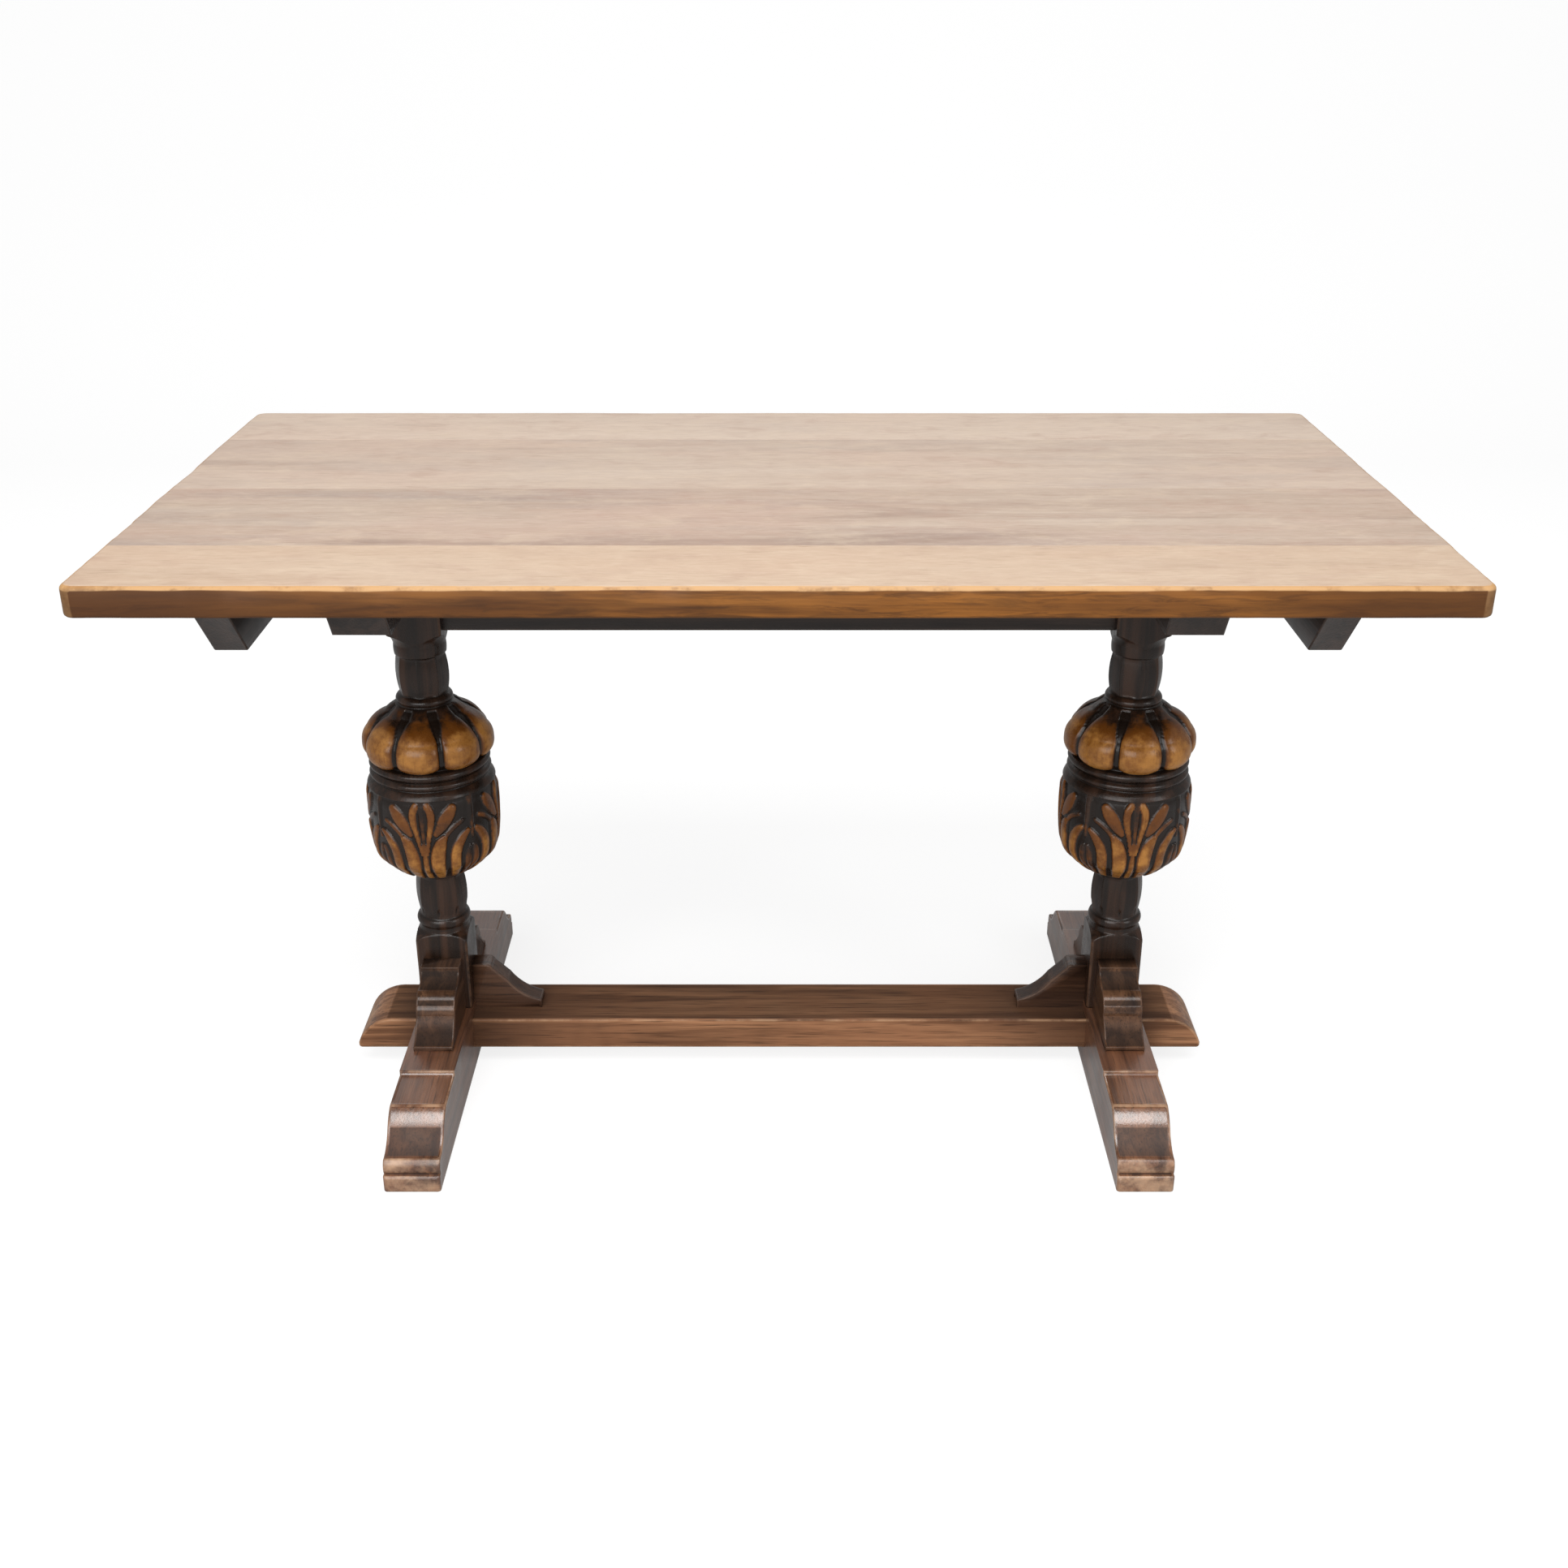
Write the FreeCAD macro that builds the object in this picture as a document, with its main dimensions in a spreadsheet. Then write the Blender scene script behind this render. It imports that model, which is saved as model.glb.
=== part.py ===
"""Oak refectory table on two turned cup-and-cover legs, as a parametric document.

X runs along the table, the front is -Y, Z is up and the origin is on the floor below the middle of the top.
"""
import FreeCAD, Part
import math
import os

import Sketcher

# Driving dimensions in millimetres, written once and kept in the spreadsheet.
SIZES = {
    # Whole table and fits
    "table_height": 750.0,
    "fit_clearance": 0.2,
    "cut_overrun": 5.0,
    # Top boards
    "top_length": 1372.0,
    "top_width": 724.0,
    "top_thickness": 32.0,
    "top_corner_radius": 14.0,
    "top_upper_round": 6.0,
    "top_lower_round": 4.0,
    "board_dowel_diameter": 10.0,
    "board_dowel_length": 60.0,
    # End cleats and bearers under the top
    "cleat_width": 35.0,
    "cleat_depth": 66.0,
    "cleat_setback": 32.0,
    "cleat_bevel": 60.0,
    "cleat_overhang": 130.0,
    "bearer_width": 60.0,
    "bearer_depth": 50.0,
    "bearer_setback": 59.0,
    "bearer_bevel": 33.0,
    # Screws that hold the top
    "screw_diameter": 5.0,
    "screw_length": 50.0,
    "screw_tip": 8.0,
    "screw_grip": 30.0,
    "screw_head_diameter": 10.0,
    "screw_head_height": 3.5,
    "screw_counterbore": 13.0,
    # Top rail
    "rail_thickness": 32.0,
    "rail_depth": 86.0,
    "rail_tenon_thickness": 14.0,
    "rail_tenon_depth": 60.0,
    "rail_tenon_length": 30.0,
    # Legs
    "leg_overhang": 264.0,
    "leg_block": 64.0,
    "leg_top_tenon": 38.0,
    "leg_top_tenon_length": 34.0,
    "upper_block_length": 103.0,
    "lower_block_length": 106.0,
    "shoulder_rise": 9.0,
    "ring_radius": 30.5,
    "ring_bow": 2.5,
    "neck_end_radius": 28.8,
    "neck_swell": 3.4,
    "neck_flat_depth": 1.9,
    "collar_bow": 3.0,
    "cover_radius": 78.8,
    "lobe_upper_bow": 8.5,
    "lobe_lower_bow": 2.6,
    "cover_core_bow": 6.0,
    "cover_core_turn_bow": 2.0,
    "waist_radius": 69.0,
    "waist_bow": 3.0,
    "cup_radius": 79.5,
    "cup_lip_radius": 71.0,
    "cup_shoulder_bow": 3.5,
    "cup_wall_radius": 75.2,
    "cup_wall_bow": 1.6,
    "cup_bowl_bow": 3.0,
    "cup_foot_radius": 33.0,
    "leg_foot_tenon": 34.0,
    "leg_foot_tenon_length": 66.0,
    # Feet
    "foot_width": 66.0,
    "foot_length": 606.0,
    "foot_height": 80.0,
    "foot_step": 5.0,
    "foot_step_place": 175.0,
    "foot_nose_place": 236.0,
    "foot_nose_height": 74.0,
    "foot_nose_drop": 17.0,
    "foot_nose_reach": 22.0,
    "foot_nose_bow": 1.8,
    "foot_hollow_bow": 5.0,
    "foot_toe_height": 38.0,
    "foot_toe_setback": 11.0,
    "foot_roll_setback": 7.0,
    "foot_roll_bow": 3.0,
    "foot_sole_height": 21.0,
    "foot_sole_round": 4.0,
    # Stretcher
    "stretcher_tail": 114.0,
    "stretcher_width": 88.0,
    "stretcher_thickness": 41.0,
    "stretcher_clear_height": 29.0,
    "stretcher_nose_length": 45.0,
    "stretcher_nose_height": 34.0,
    "stretcher_nose_bow": 9.0,
    "stretcher_nose_round": 4.0,
    # Brackets on the feet, measured from the leg block
    "foot_bracket_width": 48.0,
    "foot_bracket_length": 100.0,
    "foot_bracket_height": 73.0,
    "foot_bracket_shelf": 23.0,
    "foot_bracket_fillet": 7.0,
    "foot_bracket_hollow_bow": 4.0,
    "foot_bracket_nose_bow": 2.0,
    "foot_bracket_toe": 6.0,
    # Brackets on the stretcher, measured from the leg block
    "stretcher_bracket_width": 28.0,
    "stretcher_bracket_length": 86.0,
    "stretcher_bracket_height": 62.0,
    "stretcher_bracket_shelf": 19.0,
    "stretcher_bracket_toe": 11.0,
    "stretcher_bracket_crown_bow": 1.3,
    "stretcher_bracket_hollow_bow": 5.0,
    # Dowels that hold the brackets
    "bracket_dowel_diameter": 9.0,
    "bracket_dowel_length": 38.0,
    "foot_bracket_dowel_place": 40.0,
    "foot_bracket_dowel_height": 35.0,
    "stretcher_bracket_dowel_place": 34.0,
    "stretcher_bracket_dowel_height": 45.0,
}

LOBE_COUNT = 8
NECK_FLAT_COUNT = 8
# Joints between the top boards, from the front edge, as shares of the top's width.
BOARD_JOINT_SHARES = (0.184, 0.482, 0.797)
# Dowels along a board joint, from its middle, as shares of the top's length.
BOARD_DOWEL_SHARES = (-0.364, -0.182, 0.0, 0.182, 0.364)
# Rows of screws, from the middle of the table, as shares of the top's width.
SCREW_ROW_SHARES = (-0.345, -0.152, 0.152, 0.345)
# Levels of the turning between the leg's two blocks, from the upper block down, as shares of its length.
TURNING_SHARES = {
    "upper_ring_low": 0.034,
    "upper_neck_top": 0.040,
    "upper_neck_low": 0.166,
    "collar_top": 0.172,
    "cover_top": 0.198,
    "cover_low": 0.380,
    "waist_groove_top": 0.406,
    "waist_groove_low": 0.412,
    "waist_low": 0.435,
    "cup_top": 0.441,
    "cup_wall_top": 0.504,
    "cup_wall_low": 0.678,
    "cup_low": 0.783,
    "lower_neck_top": 0.796,
    "lower_neck_low": 0.945,
    "lower_ring_top": 0.950,
    "lower_ring_low": 0.982,
}
# A quarter round bows out from its chord by this share of its radius.
QUARTER_BOW_SHARE = 1.0 - math.sqrt(0.5)
# From the middle of a square to its corner, as a share of its side.
CORNER_SHARE = math.sqrt(0.5)
# One gadroon of the cover: its spine and its outer line, as shares of the cover's radius and height.
LOBE_SPINE_SHARES = ((0.255, 1.08), (0.685, -0.10))
LOBE_LINE_SHARES = ((0.457, 0.97), (1.0, 0.30), (0.915, 0.0))
COVER_CORE_SHARES = ((0.42, 0.985), (0.85, 0.33))
# The round of the cup's bowl turns in at this share of its radius and height.
CUP_TURN_SHARES = (0.85, 0.46)
# Moulding points of a foot bracket, as shares of its length and height.
FOOT_BRACKET_NOSE_SHARES = ((0.50, 0.77), (0.64, 0.61), (0.69, 0.42))
FOOT_BRACKET_TOE_SHARES = (0.84, 0.22)
# Where the ogee of a stretcher bracket turns, as shares of its length and height.
STRETCHER_BRACKET_TURN_SHARES = ((0.30, 0.92), (0.52, 0.63))

# Two edges this share of the cut overrun apart count as one place.
NEAR_SHARE = 0.01

doc = FreeCAD.newDocument("refectory_table")
sheet = doc.addObject("Spreadsheet::Sheet", "sizes")


class Size:
    """A length as a value and as the spreadsheet expression that gives it."""

    def __init__(self, value, text):
        self.value = value
        self.text = text

    def __add__(self, other):
        return Size(self.value + other.value, f"({self.text} + {other.text})")

    def __sub__(self, other):
        return Size(self.value - other.value, f"({self.text} - {other.text})")

    def __neg__(self):
        return Size(-self.value, f"(0 - {self.text})")

    def __mul__(self, factor):
        factor = factor if isinstance(factor, Size) else Size(factor, f"({factor!r})")
        return Size(self.value * factor.value, f"({self.text} * {factor.text})")

    def __truediv__(self, divisor):
        divisor = divisor if isinstance(divisor, Size) else Size(divisor, f"({divisor!r})")
        return Size(self.value / divisor.value, f"({self.text} / {divisor.text})")

    def root(self):
        return Size(math.sqrt(self.value), f"sqrt({self.text})")


ZERO = Size(0.0, "0")


def fill_sheet():
    """Writes every driving dimension with its alias."""
    for row, (name, value) in enumerate(SIZES.items(), start=1):
        sheet.set(f"A{row}", name)
        sheet.set(f"B{row}", str(value))
        sheet.setAlias(f"B{row}", name)
    doc.recompute()


def size(name):
    return Size(SIZES[name], f"sizes.{name}")


def bind(thing, path, length):
    thing.setExpression(path, length.text)


def place(thing, x=ZERO, y=ZERO, z=ZERO, turn=0.0):
    """Puts a finished piece at a bound place, turned about Z."""
    axis = FreeCAD.Vector(0, 0, 1)
    base = FreeCAD.Vector(x.value, y.value, z.value)
    thing.Placement = FreeCAD.Placement(base, FreeCAD.Rotation(axis, turn))
    bind(thing, "Placement.Base.x", x)
    bind(thing, "Placement.Base.y", y)
    bind(thing, "Placement.Base.z", z)


def new_body(label):
    body = doc.addObject("PartDesign::Body", label)
    body.Label = label
    return body


def origin_feature(body, role):
    return next(feature for feature in body.Origin.OriginFeatures if feature.Role == role)


def new_sketch(body, plane, offset=ZERO, turn=0.0):
    """A sketch on one of the body's own planes, moved along its normal and turned about its upright."""
    sketch = body.newObject("Sketcher::SketchObject", "sketch")
    sketch.AttachmentSupport = (origin_feature(body, plane), "")
    sketch.MapMode = "FlatFace"
    upright = FreeCAD.Rotation(FreeCAD.Vector(0, 1, 0), turn)
    sketch.AttachmentOffset = FreeCAD.Placement(FreeCAD.Vector(0, 0, offset.value), upright)
    bind(sketch, "AttachmentOffset.Base.z", offset)
    return sketch


def limit(sketch, kind, entities, name, length):
    """Adds one dimension to a sketch and binds it."""
    index = sketch.addConstraint(Sketcher.Constraint(kind, *entities, length.value))
    sketch.renameConstraint(index, name)
    bind(sketch, f"Constraints.{name}", length)


def pin(sketch, edge, end, x, y):
    """Holds a sketch point at a bound distance from the sketch's origin."""
    if x is ZERO:
        sketch.addConstraint(Sketcher.Constraint("PointOnObject", edge, end, -2))
    else:
        limit(sketch, "DistanceX", (-1, 1, edge, end), f"across_{edge}_{end}", x)
    if y is ZERO:
        sketch.addConstraint(Sketcher.Constraint("PointOnObject", edge, end, -1))
    else:
        limit(sketch, "DistanceY", (-1, 1, edge, end), f"up_{edge}_{end}", y)


def flat_vector(corner):
    return FreeCAD.Vector(corner[0].value, corner[1].value, 0)


def outline(sketch, corners):
    """Closes lines and arcs through the corners. A corner's third entry bows the edge that ends there."""
    edges = []
    for start, stop in zip([corners[-1], *corners[:-1]], corners):
        first = flat_vector(start)
        last = flat_vector(stop)
        bow = stop[2] if len(stop) > 2 else None
        if bow is None:
            edges.append((sketch.addGeometry(Part.LineSegment(first, last), False), 1, 2))
            continue
        chord = last - first
        side = FreeCAD.Vector(chord.y, -chord.x, 0).normalize()
        edge = sketch.addGeometry(Part.Arc(first, (first + last) / 2 + side * bow.value, last), False)
        starts_first = (sketch.getPoint(edge, 1) - first).Length < (sketch.getPoint(edge, 2) - first).Length
        edges.append((edge, 1, 2) if starts_first else (edge, 2, 1))
        rise = bow if bow.value > 0 else -bow
        across = stop[0] - start[0]
        up = stop[1] - start[1]
        radius = (across * across + up * up) / (rise * 8) + rise / 2
        limit(sketch, "Radius", (edge,), f"radius_{edge}", radius)
    for (edge, _, end), following, corner in zip(edges, [*edges[1:], edges[0]], corners):
        sketch.addConstraint(Sketcher.Constraint("Coincident", edge, end, following[0], following[1]))
        pin(sketch, edge, end, corner[0], corner[1])
    return sketch


def rectangle(sketch, left, right, low, high):
    return outline(sketch, [(left, low), (right, low), (right, high), (left, high)])


def circles(sketch, centres, diameter):
    for x, y in centres:
        centre = FreeCAD.Vector(x.value, y.value, 0)
        edge = sketch.addGeometry(Part.Circle(centre, FreeCAD.Vector(0, 0, 1), diameter.value / 2), False)
        pin(sketch, edge, 3, x, y)
        limit(sketch, "Radius", (edge,), f"radius_{edge}", diameter / 2)
    return sketch


def pad(body, sketch, length, symmetric=False):
    feature = body.newObject("PartDesign::Pad", "pad")
    feature.Profile = sketch
    feature.SideType = "Symmetric" if symmetric else "One side"
    feature.Length = length.value
    bind(feature, "Length", length)
    doc.recompute()
    return feature


def revolve(body, kind, sketch, axis="V_Axis"):
    feature = body.newObject(f"PartDesign::{kind}", "turning")
    feature.Profile = sketch
    feature.ReferenceAxis = (sketch, [axis])
    feature.Angle = 360
    doc.recompute()
    return feature


def cut(body, sketch, depth):
    """Pockets the sketch to the same depth on both of its sides and makes sure that it met wood."""
    before = body.Shape.Volume
    feature = body.newObject("PartDesign::Pocket", "pocket")
    feature.Profile = sketch
    feature.SideType = "Symmetric"
    feature.Length = depth.value * 2
    bind(feature, "Length", depth * 2)
    doc.recompute()
    if not body.Shape.Volume < before:
        raise RuntimeError(f"{body.Label}: a pocket cut nothing")
    return feature


def around(body, feature, count):
    """Repeats a feature round the body's own Z axis."""
    pattern = body.newObject("PartDesign::PolarPattern", "pattern")
    pattern.Originals = [feature]
    pattern.Axis = (origin_feature(body, "Z_Axis"), [""])
    pattern.Angle = 360
    pattern.Occurrences = count
    body.Tip = pattern
    doc.recompute()
    return pattern


def round_edges(body, feature, names, radius):
    fillet = body.newObject("PartDesign::Fillet", "arris")
    fillet.Base = (feature, names)
    fillet.Radius = radius.value
    bind(fillet, "Radius", radius)
    doc.recompute()
    return fillet


fill_sheet()
clearance = size("fit_clearance")
overrun = size("cut_overrun")

# Levels, from the top down.
top_level = size("table_height")
underside = top_level - size("top_thickness")
top_middle_level = top_level - size("top_thickness") / 2
leg_top = underside - size("bearer_depth")
screw_seat = underside - size("screw_grip")
screw_depth = size("screw_length") - size("screw_grip")

leg_place = size("top_length") / 2 - size("leg_overhang")
cleat_place = size("top_length") / 2 - size("cleat_overhang")
block_half = size("leg_block") / 2
stretcher_low = size("stretcher_clear_height")
stretcher_top = stretcher_low + size("stretcher_thickness")
foot_top = size("foot_height")

# Edges of the top boards across the table, from the front to the rear.
top_front = -size("top_width") / 2
board_joints = [top_front + size("top_width") * share for share in BOARD_JOINT_SHARES]
board_edges = [top_front, *board_joints, size("top_width") / 2]
board_dowel_places = [size("top_length") * share if share else ZERO for share in BOARD_DOWEL_SHARES]
screw_rows = [size("top_width") * share for share in SCREW_ROW_SHARES]


def edges_at(shape, level, joints):
    """Names of the edges at a level that are not on a glued joint."""
    near = overrun.value * NEAR_SHARE
    names = []
    for number, edge in enumerate(shape.Edges, start=1):
        box = edge.BoundBox
        flat = abs(box.ZMin - level.value) < near and abs(box.ZMax - level.value) < near
        on_joint = any(abs(box.YMin - y.value) < near and abs(box.YMax - y.value) < near for y in joints)
        if flat and not on_joint:
            names.append(f"Edge{number}")
    return names


def toe_edges(shape, end):
    """Names of the edges at both ends of a foot that are above the floor."""
    near = overrun.value * NEAR_SHARE
    names = []
    for number, edge in enumerate(shape.Edges, start=1):
        box = edge.BoundBox
        at_end = abs(abs(box.YMin) - end.value) < near and abs(abs(box.YMax) - end.value) < near
        if at_end and box.ZMax > near:
            names.append(f"Edge{number}")
    return names


def top_board(label, front, rear):
    """One board of the top, rounded where it is at the outside, bored for its dowels and screws."""
    body = new_body(label)
    right = size("top_length") / 2
    left = -right
    corner = size("top_corner_radius")
    bow = corner * QUARTER_BOW_SHARE
    corners = []
    if front is board_edges[0]:
        corners += [(left, front + corner), (left + corner, front, bow)]
        corners += [(right - corner, front), (right, front + corner, bow)]
    else:
        corners += [(left, front), (right, front)]
    if rear is board_edges[-1]:
        corners += [(right, rear - corner), (right - corner, rear, bow)]
        corners += [(left + corner, rear), (left, rear - corner, bow)]
    else:
        corners += [(right, rear), (left, rear)]
    plan = outline(new_sketch(body, "XY_Plane", underside), corners)
    slab = pad(body, plan, size("top_thickness"))
    joints = [y for y in (front, rear) if y in board_joints]
    eased = round_edges(body, slab, edges_at(slab.Shape, top_level, joints), size("top_upper_round"))
    round_edges(body, eased, edges_at(eased.Shape, underside, joints), size("top_lower_round"))
    dowel_depth = size("board_dowel_length") / 2 + clearance
    dowel_bore = size("board_dowel_diameter") + clearance * 2
    for joint in joints:
        centres = [(x, top_middle_level) for x in board_dowel_places]
        cut(body, circles(new_sketch(body, "XZ_Plane", -joint), centres, dowel_bore), dowel_depth)
    centres = []
    for x in (-cleat_place, -leg_place, leg_place, cleat_place):
        centres += [(x, y) for y in screw_rows if front.value < y.value < rear.value]
    pilot = size("screw_diameter") + clearance * 2
    cut(body, circles(new_sketch(body, "XY_Plane", underside), centres, pilot), screw_depth + clearance)
    return body


def cross_piece(label, x, prefix):
    """A cleat or bearer across the underside of the top, bevelled at its ends and bored for its screws."""
    body = new_body(label)
    low = underside - size(f"{prefix}_depth")
    half = size("top_width") / 2 - size(f"{prefix}_setback")
    low_half = half - size(f"{prefix}_bevel")
    side = new_sketch(body, "YZ_Plane")
    outline(side, [(-low_half, low), (low_half, low), (half, underside), (-half, underside)])
    pad(body, side, size(f"{prefix}_width"), symmetric=True)
    centres = [(ZERO, y) for y in screw_rows]
    shank = size("screw_diameter") + clearance * 2
    bore = circles(new_sketch(body, "XY_Plane", underside), centres, shank)
    cut(body, bore, size(f"{prefix}_depth") + overrun)
    recess = circles(new_sketch(body, "XY_Plane", low), centres, size("screw_counterbore"))
    cut(body, recess, screw_seat - low)
    place(body, x)
    return body


def bearer(label, x):
    """The bearer that a leg is tenoned into."""
    body = cross_piece(label, x, "bearer")
    half = size("leg_top_tenon") / 2 + clearance
    mortise = rectangle(new_sketch(body, "XY_Plane", leg_top), -half, half, -half, half)
    cut(body, mortise, size("leg_top_tenon_length") + clearance)
    return body


def top_rail():
    """The rail between the leg blocks, with a tenon at each end."""
    body = new_body("top_rail")
    half = leg_place - block_half
    low = leg_top - size("rail_depth")
    pad(body, rectangle(new_sketch(body, "XZ_Plane"), -half, half, low, leg_top), size("rail_thickness"), True)
    tenon_low, tenon_high = rail_tenon_levels()
    reach = half + size("rail_tenon_length")
    tenon = rectangle(new_sketch(body, "XZ_Plane"), -reach, reach, tenon_low, tenon_high)
    pad(body, tenon, size("rail_tenon_thickness"), True)
    return body


def rail_tenon_levels():
    middle = leg_top - size("rail_depth") / 2
    half = size("rail_tenon_depth") / 2
    return middle - half, middle + half


upper_block_low = leg_top - size("upper_block_length")
lower_block_top = foot_top + size("lower_block_length")


def turning_level(name):
    return upper_block_low - (upper_block_low - lower_block_top) * TURNING_SHARES[name]


def cover_point(shares):
    low = turning_level("cover_low")
    height = turning_level("cover_top") - low
    return size("cover_radius") * shares[0], low + height * shares[1]


def turning(body):
    """The round of the leg between its blocks, without the gadroons."""
    ring = size("ring_radius")
    neck = size("neck_end_radius")
    swell = size("neck_swell")
    waist = size("waist_radius")
    bead = size("waist_bow")
    wall = size("cup_wall_radius")
    bowl = size("cup_bowl_bow")
    level = turning_level
    core_top = cover_point(COVER_CORE_SHARES[0])
    core_side = cover_point(COVER_CORE_SHARES[1])
    bowl_height = level("cup_wall_low") - level("cup_low")
    cup_turn = (wall * CUP_TURN_SHARES[0], level("cup_low") + bowl_height * CUP_TURN_SHARES[1])
    corners = [
        (ZERO, lower_block_top - overrun),
        (ring, lower_block_top - overrun),
        (ring, level("lower_ring_low")),
        (ring, level("lower_ring_top"), size("ring_bow")),
        (neck, level("lower_neck_low")),
        (neck, level("lower_neck_top"), swell),
        (size("cup_foot_radius"), level("cup_low")),
        (*cup_turn, bowl),
        (wall, level("cup_wall_low"), bowl),
        (size("cup_radius"), level("cup_wall_top"), size("cup_wall_bow")),
        (size("cup_lip_radius"), level("cup_top"), size("cup_shoulder_bow")),
        (waist, level("waist_low")),
        (waist, level("waist_groove_low"), bead),
        (waist, level("waist_groove_top")),
        (waist, level("cover_low"), bead),
        (*core_side, size("cover_core_turn_bow")),
        (*core_top, size("cover_core_bow")),
        (ring, level("cover_top")),
        (ring, level("collar_top"), size("collar_bow")),
        (neck, level("upper_neck_low")),
        (neck, level("upper_neck_top"), swell),
        (ring, level("upper_ring_low")),
        (ring, upper_block_low + overrun),
        (ZERO, upper_block_low + overrun),
    ]
    return revolve(body, "Revolution", outline(new_sketch(body, "XZ_Plane"), corners))


def gadroons(body):
    """The lobes of the cover: one melon lobe turned about its own spine and repeated round the leg."""
    sketch = new_sketch(body, "XZ_Plane")
    spine_top, spine_low = (cover_point(shares) for shares in LOBE_SPINE_SHARES)
    line_top, line_side, line_low = (cover_point(shares) for shares in LOBE_LINE_SHARES)
    spine = sketch.addGeometry(Part.LineSegment(flat_vector(spine_top), flat_vector(spine_low)), True)
    pin(sketch, spine, 1, *spine_top)
    pin(sketch, spine, 2, *spine_low)
    lower_bow = size("lobe_lower_bow")
    upper_bow = size("lobe_upper_bow")
    outline(sketch, [spine_top, spine_low, line_low, (*line_side, lower_bow), (*line_top, upper_bow)])
    return around(body, revolve(body, "Revolution", sketch, "Axis0"), LOBE_COUNT)


def neck_flats(body, low, high):
    """Shaves flats round a neck, with an arris towards the front."""
    sketch = new_sketch(body, "XZ_Plane", turn=180.0 / NECK_FLAT_COUNT)
    inner = size("neck_end_radius") - size("neck_flat_depth")
    outer = size("leg_block")
    outline(sketch, [(outer, low), (outer, high), (inner, high), (inner, low, -size("neck_swell"))])
    around(body, cut(body, sketch, outer), NECK_FLAT_COUNT)


def shoulder(body, level, rise):
    """Turns the corners off one end of a square block."""
    corner = size("leg_block") * CORNER_SHARE + overrun
    inner = size("ring_radius")
    corners = [(inner, level), (corner, level), (corner, level + rise)]
    if rise.value < 0:
        corners.reverse()
    before = body.Shape.Volume
    revolve(body, "Groove", outline(new_sketch(body, "XZ_Plane"), corners))
    if not body.Shape.Volume < before:
        raise RuntimeError("a shoulder cut nothing")


def square_block(body, side, low, high):
    half = side / 2
    pad(body, rectangle(new_sketch(body, "XY_Plane", low), -half, half, -half, half), high - low)


def leg(label, x, turn):
    """A turned leg. Its own +X side faces the middle of the table."""
    body = new_body(label)
    turning(body)
    square_block(body, size("leg_block"), upper_block_low, leg_top)
    square_block(body, size("leg_block"), foot_top, lower_block_top)
    shoulder(body, upper_block_low, size("shoulder_rise"))
    shoulder(body, lower_block_top, -size("shoulder_rise"))
    neck_flats(body, turning_level("upper_neck_low"), turning_level("upper_neck_top"))
    neck_flats(body, turning_level("lower_neck_low"), turning_level("lower_neck_top"))
    gadroons(body)
    square_block(body, size("leg_top_tenon"), leg_top, leg_top + size("leg_top_tenon_length"))
    square_block(body, size("leg_foot_tenon"), foot_top - size("leg_foot_tenon_length"), foot_top)
    low, high = rail_tenon_levels()
    half = size("rail_tenon_thickness") / 2 + clearance
    mortise = new_sketch(body, "YZ_Plane", block_half)
    rectangle(mortise, -half, half, low - clearance, high + clearance)
    cut(body, mortise, size("rail_tenon_length") + clearance)
    bore = size("bracket_dowel_diameter") + clearance * 2
    depth = size("bracket_dowel_length") / 2 + clearance
    foot_dowel = [(ZERO, foot_top + size("foot_bracket_dowel_height"))]
    for face in (-block_half, block_half):
        cut(body, circles(new_sketch(body, "XZ_Plane", face), foot_dowel, bore), depth)
    inner_dowel = [(ZERO, stretcher_top + size("stretcher_bracket_dowel_height"))]
    cut(body, circles(new_sketch(body, "YZ_Plane", block_half), inner_dowel, bore), depth)
    place(body, x, turn=turn)
    return body


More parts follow.
